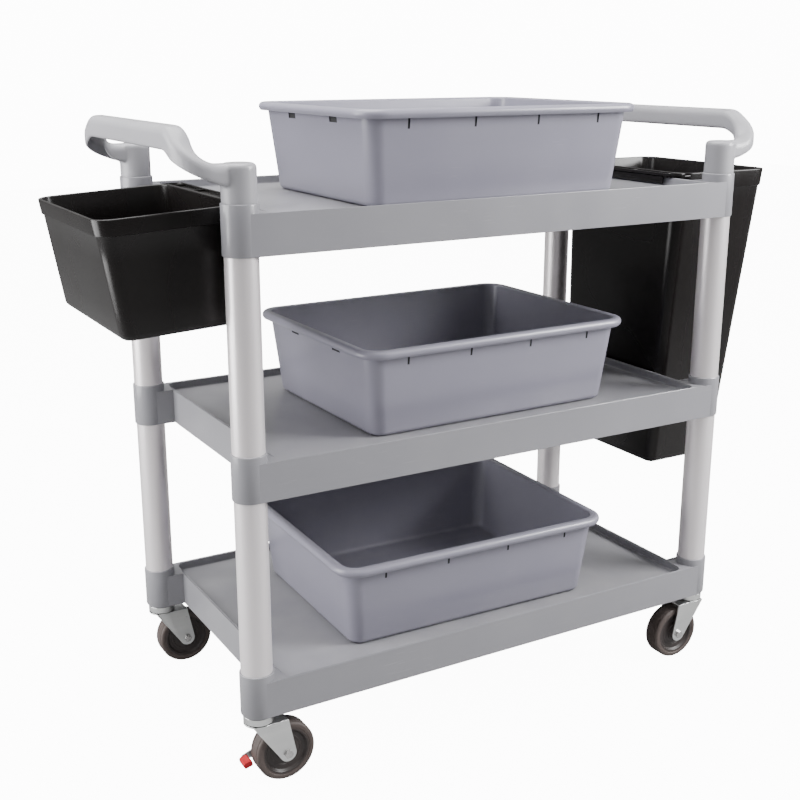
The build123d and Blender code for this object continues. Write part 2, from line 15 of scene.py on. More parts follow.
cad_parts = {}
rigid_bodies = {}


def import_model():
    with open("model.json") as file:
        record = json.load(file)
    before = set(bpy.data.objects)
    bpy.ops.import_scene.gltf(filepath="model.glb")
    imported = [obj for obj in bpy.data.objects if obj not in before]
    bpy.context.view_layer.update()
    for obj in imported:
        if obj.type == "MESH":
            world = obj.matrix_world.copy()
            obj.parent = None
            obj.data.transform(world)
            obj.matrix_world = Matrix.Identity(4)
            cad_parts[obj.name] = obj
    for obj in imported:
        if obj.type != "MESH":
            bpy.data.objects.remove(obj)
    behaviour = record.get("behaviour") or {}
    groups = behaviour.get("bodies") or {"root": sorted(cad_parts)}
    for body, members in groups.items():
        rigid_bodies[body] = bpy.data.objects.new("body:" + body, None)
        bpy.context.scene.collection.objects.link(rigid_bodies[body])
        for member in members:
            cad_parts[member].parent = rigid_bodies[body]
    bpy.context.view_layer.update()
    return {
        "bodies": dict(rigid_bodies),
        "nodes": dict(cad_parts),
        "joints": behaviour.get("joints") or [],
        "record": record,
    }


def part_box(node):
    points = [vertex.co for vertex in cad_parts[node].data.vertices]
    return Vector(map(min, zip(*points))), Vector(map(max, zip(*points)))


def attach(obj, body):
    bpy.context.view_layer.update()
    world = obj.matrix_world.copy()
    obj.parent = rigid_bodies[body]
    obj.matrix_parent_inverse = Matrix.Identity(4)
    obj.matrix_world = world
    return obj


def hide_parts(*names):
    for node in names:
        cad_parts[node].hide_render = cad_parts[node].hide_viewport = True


Flat = tuple[float, float]
Point = tuple[float, float, float]
Ring = list[Vector]
Thing = bpy.types.Object
Stuff = bpy.types.Material
Tree = bpy.types.NodeTree
Node = bpy.types.Node
Socket = bpy.types.NodeSocket

LOG = logging.getLogger("trolley")
FLOAT, VECTOR = "NodeSocketFloat", "NodeSocketVector"
MM = 0.001
CORNERS = ("fl", "bl", "fr", "br")
THIRDS = tuple(radians(a) for a in (0, 30, 60, 90))
QUARTERS = tuple(radians(a) for a in (0, 22, 45, 68, 90))
WELD = 1e-6                 # points nearer than this become one
SKIRT_HEIGHT = 60.5 * MM
TRAY_WALL = 5.0 * MM
END_INSET = 36.0 * MM       # end wall inside the leg axis


# ---- node wiring ---------------------------------------------------------------------
class Wiring:
    """Adds nodes to one tree and joins them."""

    def __init__(self, tree: Tree) -> None:
        """Keep the tree that the nodes go in."""
        self.tree = tree

    def join(self, source: Socket, target: Socket) -> None:
        """Link an output to an input."""
        self.tree.links.new(source, target)

    def node(self, kind: str, inputs: dict | None = None, **settings: object) -> Node:
        """Add a node, with a value or another node's socket on each named input.

        Args:
            kind: Node type's name.
            inputs: Values or sockets by input name or number.
            **settings: Properties of the node itself.

        Returns:
            The new node.
        """
        made = self.tree.nodes.new(kind)
        for key, value in settings.items():
            setattr(made, key, value)
        for key, value in (inputs or {}).items():
            if isinstance(value, Socket):
                self.join(value, made.inputs[key])
            else:
                made.inputs[key].default_value = value
        return made

    def maths(self, operation: str, *values: object) -> Socket:
        """Add a Math node with its values or sockets in order, and give its result."""
        return self.node("ShaderNodeMath", dict(enumerate(values)), operation=operation).outputs[0]

    def noise(self, vector: Socket, scale: object, detail: float = 2.0,
              rough: float = 0.5) -> Socket:
        """Add a Noise Texture and give its value.

        Args:
            vector: Coordinates.
            scale: Value or socket.
            detail: Number of finer layers.
            rough: Strength of the finer layers.

        Returns:
            The noise's socket.
        """
        inputs = {"Vector": vector, "Scale": scale, "Detail": detail, "Roughness": rough}
        return self.node("ShaderNodeTexNoise", inputs).outputs[0]

    def ramp(self, value: Socket, *limits: float) -> Socket:
        """Map a value from the first two limits to the last two."""
        return self.node("ShaderNodeMapRange", dict(enumerate((value, *limits)))).outputs[0]

    def blend(self, share: Socket, first: object, second: object) -> Socket:
        """Mix two colours.

        Args:
            share: How much of the second colour shows.
            first: Colour or socket at share 0.
            second: Colour or socket at share 1.

        Returns:
            The mixed colour's socket.
        """
        first, second = ((*c, 1.0) if isinstance(c, tuple) else c for c in (first, second))
        made = self.node("ShaderNodeMix", {0: share, 6: first, 7: second}, data_type="RGBA")
        return made.outputs[2]


def new_group(name: str, kind: str, takes: dict, gives: dict) -> tuple[Wiring, dict, dict]:
    """Make a node group with named inputs and outputs.

    Args:
        name: Group's name.
        kind: Tree type's name.
        takes: Input names with (socket type, first value).
        gives: Output names with socket type.

    Returns:
        The wiring, the group's input sockets by name, and its output sockets by name.
    """
    tree = bpy.data.node_groups.new(name, kind)
    for label, (sort, value) in takes.items():
        made = tree.interface.new_socket(label, in_out="INPUT", socket_type=sort)
        if value is not None:
            made.default_value = value
    for label, sort in gives.items():
        tree.interface.new_socket(label, in_out="OUTPUT", socket_type=sort)
    start, end = tree.nodes.new("NodeGroupInput"), tree.nodes.new("NodeGroupOutput")
    return (Wiring(tree), {label: start.outputs[label] for label in takes},
            {label: end.inputs[label] for label in gives})


# ---- effects that several finishes share ---------------------------------------------
def moulded_grain() -> Tree:
    """Fine pitting, slow mottling and faint flow marks of a moulded plastic face."""
    wires, takes, gives = new_group(
        "moulded_grain", "ShaderNodeTree",
        {"Vector": (VECTOR, None), "Pit Scale": (FLOAT, 1400.0), "Mottle Scale": (FLOAT, 9.0)},
        {"Height": FLOAT, "Mottle": FLOAT, "Flow": FLOAT})
    here = takes["Vector"]
    bent = wires.node("ShaderNodeTexWave", {"Vector": here, "Scale": 2.2, "Distortion": 9.0,
                                            "Detail": 2.0, "Detail Scale": 1.4})
    wires.join(wires.noise(here, takes["Pit Scale"], 3.0, 0.6), gives["Height"])
    wires.join(wires.noise(here, takes["Mottle Scale"], 4.0), gives["Mottle"])
    wires.join(bent.outputs[1], gives["Flow"])
    return wires.tree


def rub_marks() -> Tree:
    """Short fine scratches left by handling and by things slid over a face."""
    wires, takes, gives = new_group(
        "rub_marks", "ShaderNodeTree",
        {"Vector": (VECTOR, None), "Scale": (FLOAT, 26.0), "Turn": (VECTOR, (0.0, 0.0, 0.5))},
        {"Mask": FLOAT})
    turned = wires.node("ShaderNodeMapping", {"Vector": takes["Vector"], "Rotation": takes["Turn"],
                                              "Scale": (1.0, 22.0, 22.0)})
    lines = wires.noise(turned.outputs[0], takes["Scale"])
    patches = wires.noise(takes["Vector"], 7.0, 3.0)
    wires.join(wires.maths("MULTIPLY", wires.ramp(lines, 0.64, 0.7, 0.0, 1.0),
                           wires.ramp(patches, 0.5, 0.66, 0.0, 1.0)), gives["Mask"])
    return wires.tree


def settled_dust() -> Tree:
    """Thin film of dust, thicker on faces that look up."""
    wires, takes, gives = new_group(
        "settled_dust", "ShaderNodeTree",
        {"Vector": (VECTOR, None), "Normal": (VECTOR, None), "Amount": (FLOAT, 0.3)},
        {"Mask": FLOAT})
    parts = wires.node("ShaderNodeSeparateXYZ", {0: takes["Normal"]})
    upward = wires.ramp(parts.outputs[2], 0.3, 1.0, 0.15, 1.0)
    soft = wires.ramp(wires.noise(takes["Vector"], 14.0, 6.0), 0.35, 0.75, 0.0, 1.0)
    both = wires.maths("MULTIPLY", upward, soft)
    wires.join(wires.maths("MULTIPLY", both, takes["Amount"]), gives["Mask"])
    return wires.tree


def drawn_lines() -> Tree:
    """Fine die lines along an extruded tube or a turned face, with a slow change of tone."""
    wires, takes, gives = new_group(
        "drawn_lines", "ShaderNodeTree",
        {"Vector": (VECTOR, None), "Stretch": (VECTOR, (1.0, 1.0, 0.02)), "Scale": (FLOAT, 900.0)},
        {"Height": FLOAT, "Tone": FLOAT})
    drawn = wires.node("ShaderNodeVectorMath", {0: takes["Vector"], 1: takes["Stretch"]},
                       operation="MULTIPLY").outputs[0]
    wires.join(wires.noise(drawn, takes["Scale"], 3.0, 0.7), gives["Height"])
    wires.join(wires.noise(drawn, 60.0), gives["Tone"])
    return wires.tree


# ---- finishes ------------------------------------------------------------------------
class Effects:
    """The shared effect groups, each built once."""

    def __init__(self) -> None:
        """Build every group."""
        self.grain, self.rubs = moulded_grain(), rub_marks()
        self.dust, self.lines = settled_dust(), drawn_lines()


@dataclass(frozen=True)
class Finish:
    """What every finish has: a name, its colour and the deeper tone mixed into it."""

    name: str
    colour: Point
    deep: Point

    def start(self, *trees: Tree) -> tuple[Stuff, Wiring, Node, list[Node]]:
        """Make a plain material with effect groups that read Object coordinates.

        Args:
            *trees: Effect groups it uses.

        Returns:
            The material, its wiring, its shader and its group nodes.
        """
        made = bpy.data.materials.new(self.name)
        made.use_nodes = True
        wires = Wiring(made.node_tree)
        place = wires.node("ShaderNodeTexCoord")
        groups = [wires.node("ShaderNodeGroup", node_tree=tree) for tree in trees]
        for group in groups:
            wires.join(place.outputs["Object"], group.inputs["Vector"])
            if "Normal" in group.inputs:
                wires.join(place.outputs["Normal"], group.inputs["Normal"])
        return made, wires, made.node_tree.nodes["Principled BSDF"], groups

    @staticmethod
    def emboss(wires: Wiring, shader: Node, height: Socket, strength: float, depth: float) -> None:
        """Raise the surface by a height.

        Args:
            wires: Material's wiring.
            shader: Shader whose normal is bent.
            height: Height's socket.
            strength: How much of the bump shows.
            depth: Bump's depth in millimetres.
        """
        bump = wires.node("ShaderNodeBump", {"Height": height, "Strength": strength,
                                             "Distance": depth * MM})
        wires.join(bump.outputs[0], shader.inputs["Normal"])


@dataclass(frozen=True)
class PlasticFinish(Finish):
    """Moulded plastic: colour, sheen and the depth of its grain."""

    gloss: float = 0.4
    coat: float = 0.0
    specular: float = 0.5
    pit_scale: float = 1400.0
    pit_depth: float = 0.03
    rubs: float = 0.25
    dust: float = 0.12
    dust_colour: Point = (0.62, 0.60, 0.57)
    coat_roughness: float = 0.12
    flow_swing: float = 0.06
    rub_roughness: float = 0.25
    dust_roughness: float = 0.4
    bump_per_depth: float = 8

    def build(self, effects: Effects) -> Stuff:
        """Make the material.

        Args:
            effects: Shared effect groups.

        Returns:
            The new material.
        """
        made, wires, shader, (grain, rubs, dust) = self.start(effects.grain, effects.rubs,
                                                              effects.dust)
        worn, film = rubs.outputs["Mask"], dust.outputs["Mask"]
        pale = tuple(min(1.0, c * 1.35 + 0.02) for c in self.colour)
        tone = wires.blend(grain.outputs["Mottle"], self.deep, self.colour)
        rubbed = wires.blend(wires.maths("MULTIPLY", worn, self.rubs), tone, pale)
        wires.join(wires.blend(film, rubbed, self.dust_colour), shader.inputs["Base Color"])
        uneven = wires.maths("MULTIPLY_ADD", grain.outputs["Flow"], self.flow_swing,
                             self.gloss - self.flow_swing / 2)
        scuffed = wires.maths("MULTIPLY_ADD", worn, self.rub_roughness * self.rubs, uneven)
        dusty = wires.maths("MULTIPLY", film, self.dust_roughness)
        wires.join(wires.maths("ADD", scuffed, dusty), shader.inputs["Roughness"])
        for node, label, value in ((grain, "Pit Scale", self.pit_scale),
                                   (dust, "Amount", self.dust),
                                   (shader, "Specular IOR Level", self.specular),
                                   (shader, "Coat Weight", self.coat),
                                   (shader, "Coat Roughness", self.coat_roughness)):
            node.inputs[label].default_value = value
        self.emboss(wires, shader, grain.outputs["Height"], self.pit_depth * self.bump_per_depth,
                    self.pit_depth)
        return made


@dataclass(frozen=True)
class MetalFinish(Finish):
    """Bare or plated metal with fine lines left by drawing or rolling."""

    gloss: float = 0.3
    metallic: float = 1.0
    stretch: Point = (1.0, 1.0, 0.02)
    scale: float = 900.0
    line_depth: float = 0.02
    rubs: float = 0.3
    line_swing: float = 0.14
    line_bump: float = 0.25
    dulled: float = 0.7

    def build(self, effects: Effects) -> Stuff:
        """Make the material.

        Args:
            effects: Shared effect groups.

        Returns:
            The new material.
        """
        made, wires, shader, (lines, rubs) = self.start(effects.lines, effects.rubs)
        worn = wires.maths("MULTIPLY", rubs.outputs["Mask"], self.rubs)
        tone = wires.blend(lines.outputs["Tone"], self.deep, self.colour)
        dull = tuple(c * self.dulled for c in self.colour)
        wires.join(wires.blend(worn, tone, dull), shader.inputs["Base Color"])
        wires.join(wires.maths("MULTIPLY_ADD", lines.outputs["Height"], self.line_swing,
                               self.gloss - self.line_swing / 2), shader.inputs["Roughness"])
        for node, label, value in ((lines, "Stretch", self.stretch), (lines, "Scale", self.scale),
                                   (shader, "Metallic", self.metallic)):
            node.inputs[label].default_value = value
        self.emboss(wires, shader, lines.outputs["Height"], self.line_bump, self.line_depth)
        return made


class Coat(Enum):
    """Every finish on the trolley."""

    SHELF = PlasticFinish("shelf_grey", (0.240, 0.238, 0.256), (0.210, 0.208, 0.226), gloss=0.36,
                          coat=0.25, pit_scale=900.0, pit_depth=0.02)
    HANDLE = PlasticFinish("handle_grey", (0.312, 0.309, 0.328), (0.274, 0.271, 0.290), gloss=0.40,
                           coat=0.12, pit_scale=1100.0)
    SOCKET = PlasticFinish("socket_grey", (0.13, 0.13, 0.135), (0.10, 0.10, 0.105), gloss=0.5)
    TUB = PlasticFinish("tub_blue_grey", (0.232, 0.225, 0.276), (0.204, 0.198, 0.248), gloss=0.36,
                        coat=0.20, pit_scale=700.0, pit_depth=0.05, dust=0.08)
    # Painted shade: near-black colour on the faces inside the tub's slots and windows, standing in
    # for the shade in those shallow pockets.
    SLOT = PlasticFinish("slot_shadow", (0.016, 0.016, 0.018), (0.010, 0.010, 0.012), gloss=0.7,
                         rubs=0.0, dust=0.05)
    BIN = PlasticFinish("bin_black", (0.0085, 0.0072, 0.0070), (0.0055, 0.0047, 0.0046), gloss=0.27,
                        specular=0.26, pit_scale=620.0, pit_depth=0.07, rubs=0.12, dust=0.05,
                        dust_colour=(0.20, 0.19, 0.18))
    TREAD = PlasticFinish("tread_rubber", (0.078, 0.058, 0.052), (0.052, 0.039, 0.035), gloss=0.62,
                          pit_scale=520.0, pit_depth=0.12, rubs=0.5, dust=0.35,
                          dust_colour=(0.30, 0.28, 0.26))
    HUB = PlasticFinish("hub_dark", (0.034, 0.026, 0.024), (0.023, 0.017, 0.016), gloss=0.46,
                        pit_scale=700.0, pit_depth=0.05, dust=0.2, dust_colour=(0.2, 0.19, 0.18))
    BRAKE = PlasticFinish("brake_red", (0.50, 0.006, 0.014), (0.40, 0.004, 0.010), gloss=0.42,
                          specular=0.3, pit_scale=900.0)
    TUBE = MetalFinish("drawn_aluminium", (0.86, 0.815, 0.825), (0.76, 0.718, 0.728), gloss=0.36,
                       metallic=0.55)
    ZINC = MetalFinish("bright_zinc", (0.80, 0.80, 0.79), (0.62, 0.63, 0.63), gloss=0.30,
                       stretch=(0.08, 1.0, 1.0), scale=420.0, line_depth=0.03)
    STEEL = MetalFinish("bolt_steel", (0.62, 0.61, 0.60), (0.46, 0.45, 0.45), gloss=0.28,
                        stretch=(1.0, 0.1, 1.0), scale=600.0)


class Paint:
    """The finishes as materials, each made once."""

    def __init__(self) -> None:
        """Build the shared effects and every material."""
        effects = Effects()
        self.made = {coat: coat.value.build(effects) for coat in Coat}

    def __getitem__(self, coat: Coat) -> Stuff:
        """Give a finish's material."""
        return self.made[coat]


# ---- mesh making ---------------------------------------------------------------------
def arc(centre: Flat, radius: float, start: float, end: float, steps: int) -> list[Flat]:
    """Points of a flat arc, both ends included.

    Args:
        centre: Arc's middle.
        radius: Arc's radius.
        start: First angle in degrees.
        end: Last angle in degrees.
        steps: Number of straight pieces.

    Returns:
        The points.
    """
    turns = [radians(start + (end - start) * k / steps) for k in range(steps + 1)]
    return [(centre[0] + radius * cos(t), centre[1] + radius * sin(t)) for t in turns]


def level(outline: Sequence[Flat], z: float) -> Ring:
    """Lift a flat outline to a height."""
    return [Vector((x, y, z)) for x, y in outline]


def mirrored(outline: Sequence[Flat]) -> list[Flat]:
    """Mirror an outline's second numbers and turn its order round."""
    return [(x, -y) for x, y in reversed(outline)]


def rounded_ring(half_x: float, half_y: float, radius: float, z: float, middle_x: float = 0.0,
                 steps: int = 10) -> Ring:
    """Level ring of a rectangle with round corners, anticlockwise.

    Args:
        half_x: Half the length.
        half_y: Half the width.
        radius: Corner radius.
        z: Height.
        middle_x: Ring's middle along X.
        steps: Pieces in each corner.

    Returns:
        The ring's points.
    """
    flat: list[Flat] = []
    for sign_x, sign_y, start in ((1, 1, 0), (-1, 1, 90), (-1, -1, 180), (1, -1, 270)):
        flat += arc((middle_x + sign_x * (half_x - radius), sign_y * (half_y - radius)), radius,
                    start, start + 90, steps)
    return level(flat, z)


@dataclass
class Shell:
    """Closed surfaces of one piece, gathered before they become a mesh."""

    verts: list[Vector] = field(default_factory=list)
    faces: list[tuple[int, ...]] = field(default_factory=list)

    def _add(self, points: Sequence[Vector]) -> int:
        """Keep points and give the first one's number."""
        self.verts += points
        return len(self.verts) - len(points)

    def skin(self, rings: Sequence[Ring], cap_first: bool = True, cap_last: bool = True,
             loop: bool = False) -> None:
        """Join rings of equal length one to the next.

        Args:
            rings: Rings in order.
            cap_first: Close the first ring with a face.
            cap_last: Close the last ring with a face.
            loop: Join the last ring to the first.
        """
        count = len(rings[0])
        firsts = [self._add(ring) for ring in rings]
        pairs = list(zip(firsts, firsts[1:])) + ([(firsts[-1], firsts[0])] if loop else [])
        for low, high in pairs:
            for k in range(count):
                after = (k + 1) % count
                self.faces.append((low + k, low + after, high + after, high + k))
        if cap_first:
            self.faces.append(tuple(firsts[0] + k for k in reversed(range(count))))
        if cap_last:
            self.faces.append(tuple(firsts[-1] + k for k in range(count)))

    def lathe(self, profile: Sequence[Flat], frame: Matrix, steps: int = 64) -> None:
        """Turn a closed profile of (radius, height) about the frame's Z.

        Args:
            profile: Points in order, closed from last to first unless both lie on the axis.
            frame: Where the profile stands.
            steps: Pieces round the turn.
        """
        turns = [2 * pi * k / steps for k in range(steps)]
        rings = [[frame @ Vector((max(r, WELD) * cos(t), max(r, WELD) * sin(t), h)) for t in turns]
                 for r, h in profile]
        on_axis = max(profile[0][0], profile[-1][0]) < WELD
        self.skin(rings, cap_first=False, cap_last=False, loop=not on_axis)

    def flat(self, outer: Ring, inner: Ring) -> None:
        """Fill the level space between an outside and an inside loop."""
        first = self._add([*outer, *inner])
        self.faces += [tuple(first + k for k in corners)
                       for corners in tessellate_polygon([outer, inner])]

    def prism(self, outline: Sequence[Flat], low: float, high: float, frame: Matrix) -> None:
        """Stand a flat outline up between two heights.

        Args:
            outline: Points of the outline.
            low: Lower height.
            high: Upper height.
            frame: Where the outline lies.
        """
        self.skin([[frame @ p for p in level(outline, z)] for z in (low, high)])

    def block(self, low: Point, high: Point, frame: Matrix) -> None:
        """Add a block between its lowest and highest corner, in a frame."""
        outline = [(low[0], low[1]), (high[0], low[1]), (high[0], high[1]), (low[0], high[1])]
        self.prism(outline, low[2], high[2], frame)

    def piece(self, name: str, materials: Sequence[Stuff], sharp: float = 32.0) -> Thing:
        """Turn what was gathered into an object with its faces outwards.

        Args:
            name: Piece's name.
            materials: Its materials. The first one covers it.
            sharp: Edges bent by more degrees than this stay crisp.

        Returns:
            The new object, in the scene.
        """
        mesh = bpy.data.meshes.new(name)
        mesh.from_pydata([tuple(v) for v in self.verts], [], self.faces)
        for material in materials:
            mesh.materials.append(material)
        work = bmesh.new()
        work.from_mesh(mesh)
        bmesh.ops.remove_doubles(work, verts=work.verts, dist=WELD)
        bmesh.ops.dissolve_degenerate(work, edges=work.edges, dist=WELD / 10)
        bmesh.ops.recalc_face_normals(work, faces=work.faces)
        work.to_mesh(mesh)
        work.free()
        return place_mesh(name, mesh, sharp)


def place_mesh(name: str, mesh: bpy.types.Mesh, sharp: float = 32.0) -> Thing:
    """Put a mesh in the scene with smooth faces and crisp edges.

    Args:
        name: Piece's name.
        mesh: Its mesh.
        sharp: Edges bent by more degrees than this stay crisp.

    Returns:
        The new object.
    """
    mesh.polygons.foreach_set("use_smooth", [True] * len(mesh.polygons))
    mesh.set_sharp_from_angle(angle=radians(sharp))
    mesh.name = name
    made = bpy.data.objects.new(name, mesh)
    bpy.context.scene.collection.objects.link(made)
    return made


def cover(mesh: bpy.types.Mesh, material: Stuff) -> None:
    """Give a whole mesh one material."""
    mesh.materials.clear()
    mesh.materials.append(material)
    mesh.polygons.foreach_set("material_index", [0] * len(mesh.polygons))


def settle(made: Thing) -> bpy.types.Mesh:
    """Give the object's mesh with its modifiers applied, and drop the object.

    Args:
        made: Object with modifiers.

    Returns:
        The finished mesh.
    """
    bpy.context.view_layer.update()
    whole = made.evaluated_get(bpy.context.evaluated_depsgraph_get())
    mesh = bpy.data.meshes.new_from_object(whole)
    name = made.name
    bpy.data.objects.remove(made)
    mesh.name = name
    return mesh


def round_edges(made: Thing, width: float) -> None:
    """Leave a bevel on the object that softens its sharp edges.

    Args:
        made: Object to soften.
        width: Bevel's width.
    """
    bevel = made.modifiers.new("soft_edges", "BEVEL")
    bevel.width, bevel.segments = width, 2
    bevel.limit_method, bevel.angle_limit = "ANGLE", radians(35)
    bevel.miter_outer = "MITER_ARC"


def cut(made: Thing, cutter: Thing, name: str) -> Thing:
    """Take one object's shape out of another, and drop both.

    Args:
        made: Object that is cut.
        cutter: Closed shape to take away.
        name: Name of the result.

    Returns:
        The cut object.
    """
    knife = made.modifiers.new("cut", "BOOLEAN")
    knife.operation, knife.solver, knife.object = "DIFFERENCE", "EXACT", cutter
    mesh = settle(made)
    bpy.data.objects.remove(cutter)
    return place_mesh(name, mesh)


def soft_copy(node: str, name: str, material: Stuff, width: float) -> Thing:
    """Copy a CAD node's mesh as clean faces whose edges can be rounded.

    Args:
        node: CAD node's name.
        name: New piece's name.
        material: Its material.
        width: Radius of the rounded edges.

    Returns:
        The new object.
    """
    work = bmesh.new()
    work.from_mesh(bpy.data.objects[node].data)
    bmesh.ops.remove_doubles(work, verts=work.verts, dist=WELD)
    bmesh.ops.dissolve_limit(work, angle_limit=radians(1.0), verts=work.verts, edges=work.edges)
    mesh = bpy.data.meshes.new(name)
    work.to_mesh(mesh)
    work.free()
    cover(mesh, material)
    made = place_mesh(name, mesh)
    round_edges(made, width)
    return made


def join_shells(name: str, made: Sequence[Thing]) -> Thing:
    """Join finished objects of one material into one piece.

    Args:
        name: Piece's name.
        made: Objects to join.

    Returns:
        The joined object.
    """
    work = bmesh.new()
    material = made[0].data.materials[0]
    for part in made:
        work.from_mesh(part.data)
        bpy.data.objects.remove(part)
    mesh = bpy.data.meshes.new(name)
    work.to_mesh(mesh)
    work.free()
    cover(mesh, material)
    return place_mesh(name, mesh)


def stand_in(made: Thing, node: str, body: str) -> Thing:
    """Ride a piece on a body, in place of a CAD node.

    Args:
        made: The piece.
        node: CAD node that it replaces.
        body: Body it rides on.

    Returns:
        The same piece.
    """
    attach(made, body)
    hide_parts(node)
    return made


def leg() -> Point:
    """Give how far the leg axes lie from the middle, along X and Y, and a tube's radius."""
    low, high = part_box("upper_leg_fr")
    return (low.x + high.x) / 2, -(low.y + high.y) / 2, (high.x - low.x) / 2


# ---- repeated things, as geometry nodes ----------------------------------------------
class BlockRows:
    """Makes plain meshes of equal blocks in an even row."""

    def __init__(self) -> None:
        """Build the tree that sets the blocks out, centred on one point."""
        wires, takes, gives = new_group(
            "block_row", "GeometryNodeTree",
            {"Count": ("NodeSocketInt", 4), "Pitch": (VECTOR, (0.1, 0.0, 0.0)),
             "Block": (VECTOR, (0.01, 0.01, 0.01)), "Middle": (VECTOR, (0.0, 0.0, 0.0)),
             "Finish": ("NodeSocketMaterial", None)},
            {"Geometry": "NodeSocketGeometry"})
        last = wires.maths("SUBTRACT", takes["Count"], 1.0)
        back = wires.node("ShaderNodeVectorMath", {0: takes["Pitch"]}, operation="SCALE")
        wires.join(wires.maths("MULTIPLY", last, -0.5), back.inputs["Scale"])
        start = wires.node("ShaderNodeVectorMath", {0: takes["Middle"], 1: back.outputs[0]},
                           operation="ADD")
        line = wires.node("GeometryNodeMeshLine",
                          {"Count": takes["Count"], "Start Location": start.outputs[0],
                           "Offset": takes["Pitch"]}, mode="OFFSET")
        block = wires.node("GeometryNodeMeshCube", {"Size": takes["Block"]})
        set_out = wires.node("GeometryNodeInstanceOnPoints", {"Points": line.outputs[0],
                                                              "Instance": block.outputs["Mesh"]})
        real = wires.node("GeometryNodeRealizeInstances", {0: set_out.outputs[0]})
        dressed = wires.node("GeometryNodeSetMaterial", {"Geometry": real.outputs[0],
                                                         "Material": takes["Finish"]})
        wires.join(dressed.outputs[0], gives["Geometry"])
        self.tree = wires.tree

    def make(self, name: str, count: int, pitch: Point, block: Point, middle: Point,
             material: Stuff) -> Thing:
        """Set out one row.

        Args:
            name: New object's name.
            count: Number of blocks.
            pitch: Step from one block to the next.
            block: Size of a block.
            middle: Row's middle.
            material: Blocks' material.

        Returns:
            The row as a plain mesh object.
        """
        holder = bpy.data.objects.new(name, bpy.data.meshes.new(name))
        bpy.context.scene.collection.objects.link(holder)
        rows = holder.modifiers.new("row", "NODES")
        rows.node_group = self.tree
        sockets = {item.name: item.identifier for item in self.tree.interface.items_tree
                   if item.in_out == "INPUT"}
        for label, value in (("Count", count), ("Pitch", pitch), ("Block", block),
                             ("Middle", middle), ("Finish", material)):
            rows[sockets[label]] = value
        return place_mesh(name, settle(holder))


# ---- shelves -------------------------------------------------------------------------
def mitred(outline: Sequence[Flat], inset: float) -> list[Flat]:
    """Move a closed anticlockwise outline inwards by an even distance.

    Args:
        outline: Corners of the outline.
        inset: Distance inwards.

    Returns:
        The moved corners, in the same order.
    """
    moved = []
    for before, here, after in zip(outline[-1:] + outline[:-1], outline, outline[1:] + outline[:1]):
        arriving = (Vector(here) - Vector(before)).normalized()
        leaving = (Vector(after) - Vector(here)).normalized()
        mitre = Vector((-arriving.y, arriving.x)) + Vector((-leaving.y, leaving.x))
        mitre *= 2 * inset / mitre.length_squared
        moved.append((here[0] + mitre.x, here[1] + mitre.y))
    return moved


